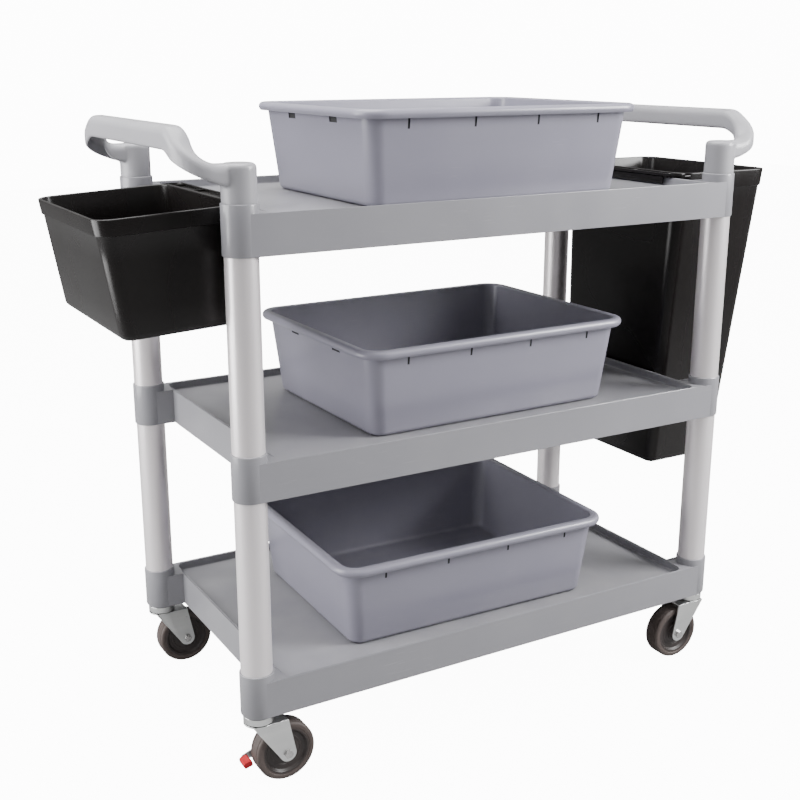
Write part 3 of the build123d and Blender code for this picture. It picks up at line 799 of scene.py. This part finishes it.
@dataclass
class Shelf:
    """One shelf: a tray with a skirt, ribs below it and a sleeve round each leg."""

    node: str
    foot_bevel: float = 1.5 * MM
    skirt_foot: float = 0.6 * MM
    tray_depth: float = 14.0 * MM
    tray_floor: float = 3.5 * MM
    corner: float = 16.0 * MM
    sleeve_wall: float = 2.4 * MM
    skirt_inset: float = 0.4 * MM
    seat: float = 32.0 * MM
    slip: float = 0.05 * MM
    rim_round: float = 2.4 * MM
    edge_round: float = 1.6 * MM
    floor_round: float = 3.0 * MM
    rib_thickness: float = 3.0 * MM
    rib_depth: float = 26.0 * MM
    ribs_along: int = 8
    ribs_across: int = 4

    def __post_init__(self) -> None:
        """Read the shelf's place from its CAD node."""
        low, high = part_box(self.node)
        self.low, self.sleeve_top = low.z, high.z
        self.leg_x, self.leg_y, self.tube = leg()
        self.sleeve = self.tube + self.sleeve_wall
        self.end_x = self.leg_x - END_INSET
        self.front_y = self.leg_y + self.sleeve - self.skirt_inset
        self.half_x, self.half_y = self.end_x - TRAY_WALL, self.front_y - TRAY_WALL
        self.rim = self.low + SKIRT_HEIGHT
        self.floor = self.rim - self.tray_depth
        self.ceiling = self.floor - self.tray_floor

    def outline(self) -> list[Flat]:
        """Outside of the skirt with the short tabs that run into the sleeves."""
        tab_y = 2 * self.leg_y - self.front_y
        quarter = [(self.leg_x, self.front_y), (self.leg_x, tab_y), (self.end_x, tab_y)]
        right = [(x, -y) for x, y in quarter] + quarter[::-1]
        return right + [(-x, -y) for x, y in right]

    def tray(self, shell: Shell) -> None:
        """Add the skirt, the rim and the tray as one closed shell.

        Args:
            shell: Where the surfaces go.
        """
        outline = self.outline()
        bend, edge, foot = self.rim_round, self.edge_round, self.floor_round
        outer = [level(mitred(outline, self.skirt_foot), self.low),
                 level(outline, self.low + self.skirt_foot)]
        outer += [level(mitred(outline, bend * cos(t)), self.rim - bend * (1 - sin(t)))
                  for t in (radians(a) for a in (90, 67, 45, 22, 0))]
        shell.skin(outer, cap_first=False, cap_last=False)
        inner = [rounded_ring(self.half_x + out, self.half_y + out, self.corner + out,
                              self.rim - edge * (1 - cos(t)))
                 for t, out in ((t, edge * (1 - sin(t))) for t in THIRDS)]
        inner += [rounded_ring(self.half_x - back, self.half_y - back, self.corner - back,
                               self.floor + foot * (1 - sin(t)))
                  for t, back in ((t, foot * (1 - cos(t))) for t in THIRDS)]
        shell.skin(inner, cap_first=False)
        shell.flat(outer[-1], inner[0])
        below = [rounded_ring(self.half_x, self.half_y, self.corner, z)
                 for z in (self.low, self.ceiling)]
        shell.skin(below, cap_first=False)
        shell.flat(outer[0], below[0])

    def sleeves(self, shell: Shell) -> None:
        """Add the four sleeves, each bored from both ends with a web between.

        Args:
            shell: Where the surfaces go.
        """
        bore, outside = self.tube + self.slip, self.sleeve
        foot, lip = self.foot_bevel, self.edge_round
        top = [(outside - lip * (1 - cos(t)), self.sleeve_top - lip * (1 - sin(t)))
               for t in reversed(THIRDS)]
        profile = [(0.0, self.sleeve_top - self.seat), (bore, self.sleeve_top - self.seat),
                   (bore, self.sleeve_top), *top,
                   (outside, self.low + foot), (outside - 0.55 * foot, self.low),
                   (bore, self.low), (bore, self.low + self.seat), (0.0, self.low + self.seat)]
        for sign_x in (-1, 1):
            for sign_y in (-1, 1):
                stand = Matrix.Translation((sign_x * self.leg_x, sign_y * self.leg_y, 0.0))
                shell.lathe(profile, stand, steps=72)

    def build(self, paint: Paint, rows: BlockRows) -> Thing:
        """Make the shelf in place of its CAD node.

        Args:
            paint: Materials.
            rows: Maker of the ribs.

        Returns:
            The finished piece.
        """
        shell, grey, name = Shell(), paint[Coat.SHELF], f"{self.node}_moulding"
        self.tray(shell)
        self.sleeves(shell)
        body = shell.piece(name, [grey])
        middle = (0.0, 0.0, self.ceiling - self.rib_depth / 2)
        long, wide = 2 * self.half_x, 2 * self.half_y
        across = rows.make("ribs_across", self.ribs_along,
                           (long / (self.ribs_along + 1), 0.0, 0.0),
                           (self.rib_thickness, wide, self.rib_depth), middle, grey)
        along = rows.make("ribs_along", self.ribs_across,
                          (0.0, wide / (self.ribs_across + 1), 0.0),
                          (long, self.rib_thickness, self.rib_depth), middle, grey)
        whole = join_shells(name, [body, across, along])
        return stand_in(whole, self.node, "frame")


# ---- end handles ---------------------------------------------------------------------
class Side(Enum):
    """End of the trolley."""

    LEFT = -1
    RIGHT = 1


@dataclass
class Handle:
    """End handle: two posts in the top sleeves and one grip, hollow from below."""

    side: Side
    post: float = 25.5 * MM
    post_height: float = 55.0 * MM
    post_dome: float = 7.0 * MM
    spigot: float = 25.0 * MM
    arm_height: float = 30.0 * MM
    rise: float = 50.0 * MM
    reach: float = 73.0 * MM
    width: float = 34.0 * MM
    height: float = 34.0 * MM
    turn: float = 30.0 * MM
    crown: float = 12.5 * MM
    wall: float = 3.5 * MM
    top_climb: Flat = (33.0 * MM, 117.0 * MM)
    low_climb: Flat = (22.0 * MM, 120.0 * MM)
    climb_run: float = 45.0 * MM
    solid_start: float = 5.0 * MM
    hollow_start: float = 29.0 * MM
    hollow_below: float = 14.0 * MM
    ribs: int = 6
    rib_pitch: float = 64.0 * MM
    rib_play: float = 5.0 * MM
    rib_thickness: float = 2.2 * MM
    rib_height: float = 20.0 * MM
    voxel: float = 1.8 * MM

    def __post_init__(self) -> None:
        """Read the handle's place from its CAD node."""
        self.node = f"{self.side.name.lower()}_handle"
        self.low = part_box(self.node)[0].z
        self.leg_x, self.leg_y, _ = leg()
        self.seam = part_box("top_shelf")[1].z
        self.post_top = self.seam + self.post_height
        self.top = self.post_top + self.rise

    def station(self, s: float) -> tuple[Vector, Vector]:
        """Place and sideways direction at a distance along the front half of the grip.

        Args:
            s: Distance from the post's axis along the centre line.

        Returns:
            The place in plan and the direction to the grip's outer side.
        """
        straight = self.reach - self.turn
        angle = min(radians(90), max(0.0, (s - straight) / self.turn))
        rest = max(0.0, s - straight - self.turn * radians(90))
        x = self.leg_x + min(s, straight) + self.turn * sin(angle)
        return (Vector((x, -self.leg_y + self.turn * (1 - cos(angle)) + rest)),
                Vector((sin(angle), -cos(angle))))

    @staticmethod
    def climb(s: float, low: float, high: float, span: Flat) -> float:
        """Height that eases from low to high over a span of the path.

        Args:
            s: Distance along the path.
            low: Height before the span.
            high: Height after it.
            span: Where the climb starts and ends.

        Returns:
            The height.
        """
        share = min(1.0, max(0.0, (s - span[0]) / (span[1] - span[0])))
        return low + (high - low) * share * share * (3 - 2 * share)

    def sweep(self, shell: Shell, inset: float, start: float, below: float) -> None:
        """Run the grip's section along its path from post to post.

        Args:
            shell: Where the surface goes.
            inset: How far inside the outer section.
            start: Where the path starts, outside the leg's axis.
            below: How far the section reaches below the lower edge.
        """
        bend_end = self.reach - self.turn + self.turn * radians(90)
        half_way = bend_end + self.leg_y - self.turn
        places = [start + (bend_end + self.climb_run - start) * k / 22 for k in range(23)]
        places += [places[-1] + (half_way - places[-1]) * k / 4 for k in range(1, 5)]
        half, crown = self.width / 2 - inset, self.crown - inset
        foot = 3.0 * MM if below <= 0 else 0.5 * MM
        front: list[Ring] = []
        for s in places:
            place, sideways = self.station(s)
            top = self.climb(s, self.post_top, self.top, self.top_climb) - inset
            low = self.climb(s, self.post_top - self.arm_height, self.top - self.height,
                             self.low_climb) - below
            ring = []
            for middle, radius, first in (((half - crown, top - crown), crown, 0),
                                          ((crown - half, top - crown), crown, 90),
                                          ((foot - half, low + foot), foot, 180),
                                          ((half - foot, low + foot), foot, 270)):
                for u, z in arc(middle, radius, first, first + 90, 7):
                    flat = place + sideways * u
                    ring.append(Vector((flat.x, flat.y, z)))
            front.append(ring)
        back = [[Vector((p.x, -p.y, p.z)) for p in ring] for ring in reversed(front[:-1])]
        shell.skin(front + back)

    def posts(self, shell: Shell) -> None:
        """Add the two posts with their domed tops and the spigots below.

        Args:
            shell: Where the surfaces go.
        """
        top, dome = self.post_top, self.post_dome
        crown = arc((self.post - dome, top - dome), dome, 0, 90, 6)
        profile = [(0.0, self.low), (self.spigot - 1 * MM, self.low),
                   (self.spigot, self.low + 1 * MM), (self.spigot, self.seam),
                   (self.post, self.seam), *crown, (0.0, top)]
        for sign in (-1, 1):
            stand = Matrix.Translation((self.leg_x, sign * self.leg_y, 0.0))
            shell.lathe(profile, stand, steps=48)

    def build(self, paint: Paint, rows: BlockRows) -> Thing:
        """Make the handle in place of its CAD node.

        Args:
            paint: Materials.
            rows: Maker of the ribs inside the grip.

        Returns:
            The finished piece.
        """
        name, grey = f"{self.node}_moulding", paint[Coat.HANDLE]
        solid, hollow = Shell(), Shell()
        self.posts(solid)
        self.sweep(solid, 0.0, self.solid_start, 0.0)
        self.sweep(hollow, self.wall, self.hollow_start, self.hollow_below)
        blank = solid.piece("blank", [grey])
        fuse = blank.modifiers.new("fuse", "REMESH")
        fuse.mode, fuse.voxel_size, fuse.use_smooth_shade = "VOXEL", self.voxel, True
        ease = blank.modifiers.new("ease", "SMOOTH")
        ease.factor, ease.iterations = 0.5, 6
        fused = place_mesh("fused", settle(blank))
        cover(fused.data, grey)
        whole = cut(fused, hollow.piece("hollow", [grey]), name)
        ribs = rows.make("ribs", self.ribs, (0.0, self.rib_pitch, 0.0),
                         (self.width - self.rib_play, self.rib_thickness, self.rib_height),
                         (self.leg_x + self.reach, 0.0, self.top - self.rib_height), grey)
        whole = join_shells(name, [whole, ribs])
        if self.side is Side.LEFT:
            whole.data.transform(Matrix.Diagonal((-1.0, 1.0, 1.0, 1.0)))
            whole.data.flip_normals()
        whole.data.set_sharp_from_angle(angle=radians(50))
        return stand_in(whole, self.node, "frame")


# ---- loose tubs ----------------------------------------------------------------------
@dataclass
class Tub:
    """Loose tub: tapered walls, round corners, a rolled rim and slots below it."""

    node: str
    turn: float
    length: float = 530.0 * MM
    width: float = 415.0 * MM
    height: float = 148.0 * MM
    corner: float = 42.0 * MM
    wall: float = 3.0 * MM
    rim_width: float = 14.0 * MM
    rim_height: float = 14.0 * MM
    roll: float = 7.5 * MM
    draft: float = 16.0 * MM
    tuck: float = 4.0 * MM
    floor_round: float = 7.0 * MM
    base_round: float = 9.0 * MM
    lip_round: float = 3.2 * MM
    slot_size: Flat = (3.6 * MM, 17.0 * MM)
    slot_pitch: float = 120.0 * MM
    window_size: Flat = (26.0 * MM, 11.0 * MM)
    window_pitch: float = 150.0 * MM
    cut_depth: float = 4.0 * MM

    def __post_init__(self) -> None:
        """Read the tub's place from its CAD node."""
        low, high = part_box(self.node)
        self.frame = (Matrix.Translation(((low.x + high.x) / 2, (low.y + high.y) / 2, low.z))
                      @ Matrix.Rotation(radians(self.turn), 4, "Z"))

    def ring(self, away: float, z: float, tight: float = 0.0) -> Ring:
        """Ring at an even distance outside the body's top outline.

        Args:
            away: Distance outside the body, below zero inside it.
            z: Height above the base.
            tight: Taken off the corner radius.

        Returns:
            The ring's points.
        """
        half_x, half_y = self.length / 2 - self.rim_width, self.width / 2 - self.rim_width
        radius = max(2 * MM, self.corner - self.rim_width + away - tight)
        return rounded_ring(half_x + away, half_y + away, radius, z, steps=14)

    def leaning(self, away: float, z: float) -> Ring:
        """Ring on the leaning wall, at a distance outside its outer face and a height."""
        share = 1 - z / self.height
        return self.ring(away - self.draft * share, z, self.tuck * share - self.draft * share)

    def shape(self) -> Shell:
        """Gather the tub's skin, from the middle of its floor over the rim to its underside."""
        top, wall, rim, roll = self.height, self.wall, self.rim_width, self.roll
        bend, base, lip = self.floor_round, self.base_round, self.lip_round
        low = top - self.rim_height
        rings = [self.leaning(-wall - bend - 26 * MM, wall)]
        rings += [self.leaning(-wall - bend * (1 - sin(t)), wall + bend * (1 - cos(t)))
                  for t in QUARTERS]
        rings += [self.leaning(-wall, top * 0.5), self.leaning(-wall, top - 3.4 * MM)]
        rings += [self.ring(-wall + lip * (1 - cos(t)), top - lip * (1 - sin(t)) - 0.6 * MM)
                  for t in THIRDS]
        rings.append(self.ring(rim - roll - 1.5 * MM, top))
        rings += [self.ring(rim - roll + roll * cos(t), top - roll + roll * sin(t))
                  for t in (radians(a) for a in (85, 68, 50, 33, 16, 0, -16, -33, -50))]
        rings += [self.ring(rim - 3.0 * MM, low + 0.2 * MM), self.ring(rim - 4.0 * MM, low),
                  self.ring(rim - 5.0 * MM, low + 0.8 * MM),
                  self.ring(rim - 4.6 * MM, top - 6 * MM),
                  self.ring(rim - 6.5 * MM, top - 4.2 * MM), self.leaning(1.2 * MM, top - 4.2 * MM),
                  self.leaning(0.0, top - 5.6 * MM), self.leaning(0.0, top * 0.5)]
        rings += [self.leaning(-base * (1 - cos(t)), base * (1 - sin(t))) for t in QUARTERS]
        rings += [self.leaning(-base - 22 * MM, 0.0), self.leaning(-base - 25 * MM, 1.2 * MM)]
        shell = Shell()
        shell.skin(rings)
        return shell

    def build(self, paint: Paint, rows: BlockRows) -> Thing:
        """Make the tub in place of its CAD node.

        Args:
            paint: Materials.
            rows: Maker of the slots' cutters.

        Returns:
            The finished piece.
        """
        # The blades carry the painted-shade material, so the pocket faces they leave in the slots
        # and windows are coloured near-black as painted shade.
        dark, deep = paint[Coat.SLOT], self.cut_depth
        whole = self.shape().piece("blank", [paint[Coat.TUB], dark])
        for sign in (-1, 1):
            for count, size, pitch, along in ((4, self.slot_size, self.slot_pitch, True),
                                              (2, self.window_size, self.window_pitch, False)):
                z = self.height - self.rim_height - size[1] / 2 + 1.0 * MM
                lean = self.draft * (self.height - z) / self.height
                away = sign * ((self.width if along else self.length) / 2 - self.rim_width - lean)
                row = (((pitch, 0.0, 0.0), (size[0], deep, size[1]), (0.0, away, z)) if along
                       else ((0.0, pitch, 0.0), (deep, *size), (away, 0.0, z)))
                blades = rows.make("blades", count, *row, dark)
                whole = cut(whole, blades, f"{self.node}_moulding")
        whole.data.transform(self.frame)
        return stand_in(whole, self.node, self.node)


# ---- hook-on side bins ---------------------------------------------------------------
@dataclass
class SideBin:
    """Bin that hooks over the top shelf's end wall."""

    side: Side
    height: float
    taper: float
    side_taper: float
    centre_y: float
    droop: float
    wall_rings: int
    band_height: float = 24.0 * MM
    width: float = 335.0 * MM
    reach: float = 242.0 * MM
    wall: float = 3.0 * MM
    corner: float = 26.0 * MM
    tuck: float = 8.0 * MM
    band_out: float = 3.0 * MM
    hook_gap: float = 4.0 * MM
    hook_drop: float = 11.0 * MM
    hook_rest: float = 0.4 * MM
    hook_end: float = 24.0 * MM
    hook_corner: float = 22.0 * MM
    hook_bevel: float = 0.7 * MM
    rim_rise: float = 8.0 * MM
    rim_round: float = 2.0 * MM
    lean: float = 11.0 * MM
    floor_round: float = 8.0 * MM
    base_round: float = 10.0 * MM

    def __post_init__(self) -> None:
        """Stand the bin's own frame on the end wall's top edge."""
        self.node = f"{self.side.name.lower()}_bin"
        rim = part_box("top_shelf")[0].z + SKIRT_HEIGHT
        dip, way = radians(self.droop), float(self.side.value)
        out = Vector((way * cos(dip), 0.0, -sin(dip)))
        up = Vector((way * sin(dip), 0.0, cos(dip)))
        self.frame = Matrix((out, up.cross(out), up)).transposed().to_4x4()
        self.frame.translation = Vector((way * (leg()[0] - END_INSET), self.centre_y, rim))
        self.lip = -(TRAY_WALL + self.hook_gap + self.wall)
        self.rim_out = self.lip + self.reach
        self.floor = self.rim_rise - self.height

    def ring(self, away: float, z: float) -> Ring:
        """Ring at an even distance outside the bin's body at a height.

        Args:
            away: Distance outside the body, below zero inside it.
            z: Height above the end wall's top.

        Returns:
            The ring's points, in the trolley's frame.
        """
        share = (z - self.floor) / self.height
        inner = self.hook_gap + self.lean * share
        outer = self.rim_out - self.band_out - self.taper * (1 - share)
        half_y = self.width / 2 - self.band_out - self.side_taper * (1 - share)
        radius = max(2 * MM, self.corner - self.tuck * (1 - share) + away)
        return [self.frame @ p for p in rounded_ring((outer - inner) / 2 + away, half_y + away,
                                                     radius, z, (outer + inner) / 2, 12)]

    def body(self, shell: Shell) -> None:
        """Add the bin's skin, from its inner floor over the rim to its base.

        Args:
            shell: Where the surface goes.
        """
        top, wall, low, base = self.rim_rise, self.wall, self.floor, self.base_round
        step, bend, edge = self.band_out, self.floor_round, self.rim_round
        band = top - self.band_height
        neck = band - 1.4 * MM
        rings = [self.ring(-wall - 30 * MM, low + wall)]
        rings += [self.ring(-wall - bend * (1 - sin(t)), low + wall + bend * (1 - cos(t)))
                  for t in QUARTERS]
        shares = [k / self.wall_rings for k in range(1, self.wall_rings)]
        rings += [self.ring(-wall, low + (top - low) * share) for share in shares]
        rings += [self.ring(-wall, top - 2.6 * MM), self.ring(-wall + 0.5 * MM, top - 1.0 * MM),
                  self.ring(-wall + 1.5 * MM, top - 0.2 * MM), self.ring(-wall + 2.4 * MM, top)]
        rings += [self.ring(step - edge * (1 - sin(t)), top - edge * (1 - cos(t)))
                  for t in QUARTERS]
        rings += [self.ring(step, band + 1.0 * MM), self.ring(step - 0.8 * MM, band + 0.1 * MM),
                  self.ring(0.5 * MM, band - 0.4 * MM), self.ring(0.0, neck)]
        rings += [self.ring(0.0, neck - (neck - low - base) * share) for share in shares]
        rings += [self.ring(-base * (1 - cos(t)), low + base * (1 - sin(t))) for t in QUARTERS]
        rings += [self.ring(-base - 18 * MM, low), self.ring(-base - 20 * MM, low + 1.0 * MM)]
        shell.skin(rings)

    def hook(self, shell: Shell) -> None:
        """Add the flange over the end wall, its raised edge and the lip inside the tray.

        Args:
            shell: Where the surfaces go.
        """
        half, wall, rest, clip = self.width / 2, self.wall, self.hook_rest, self.hook_corner
        inner = self.hook_gap + self.lean - self.band_out
        radius = self.corner + self.band_out
        reach = radius - 1.5 * MM
        front = [(inner + radius - reach * sin(t), -half + radius - reach * cos(t))
                 for t in (radians(90 * k / 8) for k in range(9))]
        turn = arc((self.lip + clip, -half + clip), clip, 180, 270, 6)
        near = [*turn, *front]
        shell.prism([*near, *mirrored(near)], rest, rest + wall, self.frame)
        low, high = rest + 0.5 * MM, self.rim_rise - 0.3 * MM
        inside = arc((self.lip + clip, -half + clip), clip - wall, 270, 180, 6)
        edge = [*turn, (inner + 8 * MM, -half), (inner + 8 * MM, -half + wall), *inside]
        shell.prism([(self.lip, half - clip), *edge, (self.lip + wall, half - clip)], low, high,
                    self.frame)
        shell.prism(mirrored(edge), low, high, self.frame)
        for sign in (-1, 1):
            for place in (0.32, 0.9):
                y = sign * (half - 11 * MM) * place
                shell.block((self.lip + 0.5 * MM, y - 1.2 * MM, rest + 1 * MM),
                            (inner + 1 * MM, y + 1.2 * MM, high - 1.2 * MM), self.frame)
        end = half - self.hook_end
        shell.block((self.lip, -end, rest - self.hook_drop), (self.lip + wall, end, rest + 1 * MM),
                    self.frame)

    def build(self, paint: Paint) -> Thing:
        """Make the bin in place of its CAD node.

        Args:
            paint: Materials.

        Returns:
            The finished piece.
        """
        black, skin, flange = paint[Coat.BIN], Shell(), Shell()
        self.body(skin)
        self.hook(flange)
        hooked = flange.piece("flange", [black])
        round_edges(hooked, self.hook_bevel)
        whole = join_shells(f"{self.node}_moulding", [skin.piece("skin", [black]),
                                                      place_mesh("flange_soft", settle(hooked))])
        return stand_in(whole, self.node, self.node)


# ---- casters -------------------------------------------------------------------------
@dataclass
class Caster:
    """One swivel caster: fork, race plates, axle, wheel and, on two corners, a brake."""

    corner: str
    tread: float = 11.0 * MM
    shoulder: float = 5.0 * MM
    bore: float = 4.05 * MM
    soft: float = 0.5 * MM

    def __post_init__(self) -> None:
        """Read the wheel's place from its CAD nodes."""
        low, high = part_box(f"wheel_tread_{self.corner}")
        hub_low, hub_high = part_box(f"wheel_hub_{self.corner}")
        self.radius, self.half = (high.z - low.z) / 2, (high.y - low.y) / 2
        self.boss_half = (hub_high.y - hub_low.y) / 2
        self.frame = (Matrix.Translation((low + high) / 2)
                      @ Matrix.Rotation(radians(-90), 4, "X"))

    def tyre(self) -> list[Flat]:
        """Half section of the tyre: round shoulder, a fine groove and the moulding line."""
        half, out, turn = self.half - 0.02 * MM, self.radius, self.shoulder
        inner = out - self.tread
        return [*[(inner + up * MM, half - back * MM)
                  for up, back in ((0.0, 1.0), (2.0, 1.0), (2.6, 0.2))],
                (out - 6.0 * MM, half), *arc((out - turn, half - turn), turn, 78, 12, 6),
                *[(out - down * MM, half - back * MM)
                  for down, back in ((0.25, 6.5), (0.9, 6.9), (0.9, 7.6), (0.12, 8.0))],
                (out, 0.3 * MM)]

    def hub(self) -> list[Flat]:
        """Half section of the wheel's centre: a boss, stepped rings and a dished web."""
        edge, boss = self.half - 1.2 * MM, self.boss_half
        steps = ((12.5, 1.6), (14.2, 2.4), (15.5, 2.4), (16.2, 3.8), (17.2, 4.2), (24.0, 4.2),
                 (24.5, 3.7), (26.5, 3.7), (27.0, 4.2), (33.0, 4.2), (34.0, 3.6), (35.6, 0.8),
                 (36.4, 0.0))
        return [(self.bore, boss), (10.2 * MM, boss), (11.0 * MM, boss - 0.8 * MM),
                *[(out * MM, edge - down * MM) for out, down in steps],
                (self.radius - self.tread - 0.02 * MM, edge)]

    def build(self, paint: Paint) -> None:
        """Make the wheel, and soft copies of the metal parts and the brake.

        Args:
            paint: Materials.
        """
        here = self.corner
        for name, side, steps, sharp, coat, node, slot in (
                ("tyre", self.tyre(), 120, 38, Coat.TREAD, "wheel_tread", "tread_rubber"),
                ("hub", self.hub(), 96, 30, Coat.HUB, "wheel_hub", "hub_plastic")):
            shell = Shell()
            shell.lathe([*side, *mirrored(side)], self.frame, steps)
            made = shell.piece(f"{name}_{here}", [paint[coat]], sharp)
            stand_in(made, f"{node}_{here}", f"wheel_{here}")
        for name, node, body, coat, slot in (
                ("fork", "caster_fork", f"swivel_{here}", Coat.ZINC, "caster_zinc"),
                ("bolt", "axle_bolt", f"swivel_{here}", Coat.STEEL, "bolt_steel"),
                ("race", "caster_stem", "frame", Coat.ZINC, "caster_zinc"),
                ("lever", "brake_lever", f"brake_{here}", Coat.ZINC, "caster_zinc"),
                ("cap", "brake_cap", f"brake_{here}", Coat.BRAKE, "brake_red")):
            if f"{node}_{here}" in bpy.data.objects:
                made = soft_copy(f"{node}_{here}", f"{name}_{here}", paint[coat], self.soft)
                stand_in(made, f"{node}_{here}", body)


# ---- studio --------------------------------------------------------------------------
@dataclass
class Studio:
    """Pale floor, soft lights and the camera."""

    camera_at: Point = (-1.0913, -1.7854, 1.1130)
    turn: float = -29.97
    dip: float = 16.0
    lens: float = 53.8
    sensor: float = 36.0
    clip: Flat = (0.05, 60.0)
    horizon: float = 0.10
    zenith: float = 1.1
    backdrop: float = 13.0
    floor_glow: float = 12.0
    floor_half: float = 9.0
    floor_top: float = -0.0002
    floor_base: float = -0.02
    floor_tones: Flat = (0.27, 0.30)

    def floor(self) -> None:
        """Lay a large pale floor that glows only for the camera."""
        pale = bpy.data.materials.new("studio_floor")
        pale.use_nodes = True
        wires = Wiring(pale.node_tree)
        shader = pale.node_tree.nodes["Principled BSDF"]
        cloud = wires.noise(wires.node("ShaderNodeTexCoord").outputs["Object"], 1.2)
        tone = wires.blend(cloud, *((grey, grey, grey) for grey in self.floor_tones))
        wires.join(tone, shader.inputs["Base Color"])
        shader.inputs["Roughness"].default_value = 0.9
        seen = wires.node("ShaderNodeLightPath").outputs["Is Camera Ray"]
        wires.join(wires.maths("MULTIPLY", seen, self.floor_glow),
                   shader.inputs["Emission Strength"])
        shader.inputs["Emission Color"].default_value = (1.0, 1.0, 1.0, 1.0)
        shell, half = Shell(), self.floor_half
        shell.block((-half, -half, self.floor_base), (half, half, self.floor_top),
                    Matrix.Identity(4))
        shell.piece("studio_floor", [pale])

    @staticmethod
    def lamp(name: str, at: Point, size: Flat, power: float, aim: Point) -> None:
        """Hang one soft rectangular light.

        Args:
            name: Light's name.
            at: Its place.
            size: Its width and height.
            power: Its power in watts.
            aim: Point it faces.
        """
        made = bpy.data.lights.new(name, "AREA")
        made.shape, made.energy = "RECTANGLE", power
        made.size, made.size_y = size
        held = bpy.data.objects.new(name, made)
        held.location = at
        held.rotation_euler = (Vector(aim) - Vector(at)).to_track_quat("-Z", "Y").to_euler()
        held.visible_camera = False
        bpy.context.scene.collection.objects.link(held)

    def sky(self) -> None:
        """Set a dome that lights from above and looks white to the camera."""
        world = bpy.data.worlds.new("studio")
        world.use_nodes = True
        wires = Wiring(world.node_tree)
        back = world.node_tree.nodes["Background"]
        back.inputs["Color"].default_value = (1.0, 1.0, 1.0, 1.0)
        seen = wires.node("ShaderNodeLightPath").outputs["Is Camera Ray"]
        place = wires.node("ShaderNodeTexCoord").outputs["Generated"]
        way = wires.node("ShaderNodeSeparateXYZ", {0: place})
        dome = wires.ramp(way.outputs[2], -0.1, 1.0, self.horizon, self.zenith)
        wires.join(wires.maths("MULTIPLY_ADD", seen, self.backdrop, dome), back.inputs["Strength"])
        bpy.context.scene.world = world

    def camera(self) -> None:
        """Place the camera."""
        made = bpy.data.cameras.new("camera")
        made.lens, made.sensor_width = self.lens, self.sensor
        made.clip_start, made.clip_end = self.clip
        held = bpy.data.objects.new("camera", made)
        held.location = self.camera_at
        held.rotation_euler = (radians(90 - self.dip), 0.0, radians(self.turn))
        bpy.context.scene.collection.objects.link(held)
        bpy.context.scene.camera = held

    def build(self) -> None:
        """Set up the whole studio."""
        self.floor()
        self.sky()
        self.lamp("right", (1.6, -1.3, 1.6), (0.9, 1.1), 105.0, (0.45, -0.2, 0.85))
        self.lamp("left", (-1.75, 0.35, 1.05), (1.1, 1.7), 60.0, (-0.4, 0.0, 0.7))
        self.lamp("front", (-1.6, -3.4, 2.2), (1.6, 1.6), 4.0, (0.0, 0.0, 0.6))
        self.lamp("top", (-0.5, 0.2, 3.0), (2.6, 2.0), 135.0, (0.0, 0.0, 0.5))
        self.camera()


def main() -> None:
    """Build every sub-assembly in order."""
    logging.basicConfig(level=logging.INFO, format="%(name)s: %(message)s")
    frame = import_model()
    paint, rows = Paint(), BlockRows()
    for node, foot in (("bottom_shelf", 3.0 * MM), ("middle_shelf", 1.5 * MM),
                       ("top_shelf", 1.5 * MM)):
        LOG.info("shelf %s", Shelf(node, foot).build(paint, rows).name)
    for side in Side:
        LOG.info("handle %s", Handle(side).build(paint, rows).name)
    for node, turn in (("bottom_tub", -1.3), ("middle_tub", 0.9), ("top_tub", 0.0)):
        LOG.info("tub %s", Tub(node, turn).build(paint, rows).name)
    for made in (SideBin(Side.LEFT, 175 * MM, 20 * MM, 6 * MM, -25 * MM, 3.0, 4),
                 SideBin(Side.RIGHT, 556 * MM, 60 * MM, 28 * MM, 5 * MM, 0.0, 10, 31 * MM)):
        LOG.info("bin %s", made.build(paint).name)
    for corner in CORNERS:
        Caster(corner).build(paint)
        LOG.info("caster %s", corner)
    for prefix, coat in (("lower_leg", Coat.TUBE), ("upper_leg", Coat.TUBE),
                         ("caster_socket", Coat.SOCKET), ("swivel_balls", Coat.STEEL)):
        for name, made in frame["nodes"].items():
            if name.startswith(prefix):
                cover(made.data, paint[coat])
        LOG.info("CAD nodes of %s covered", prefix)
    Studio().build()


if __name__ == "__main__":
    main()
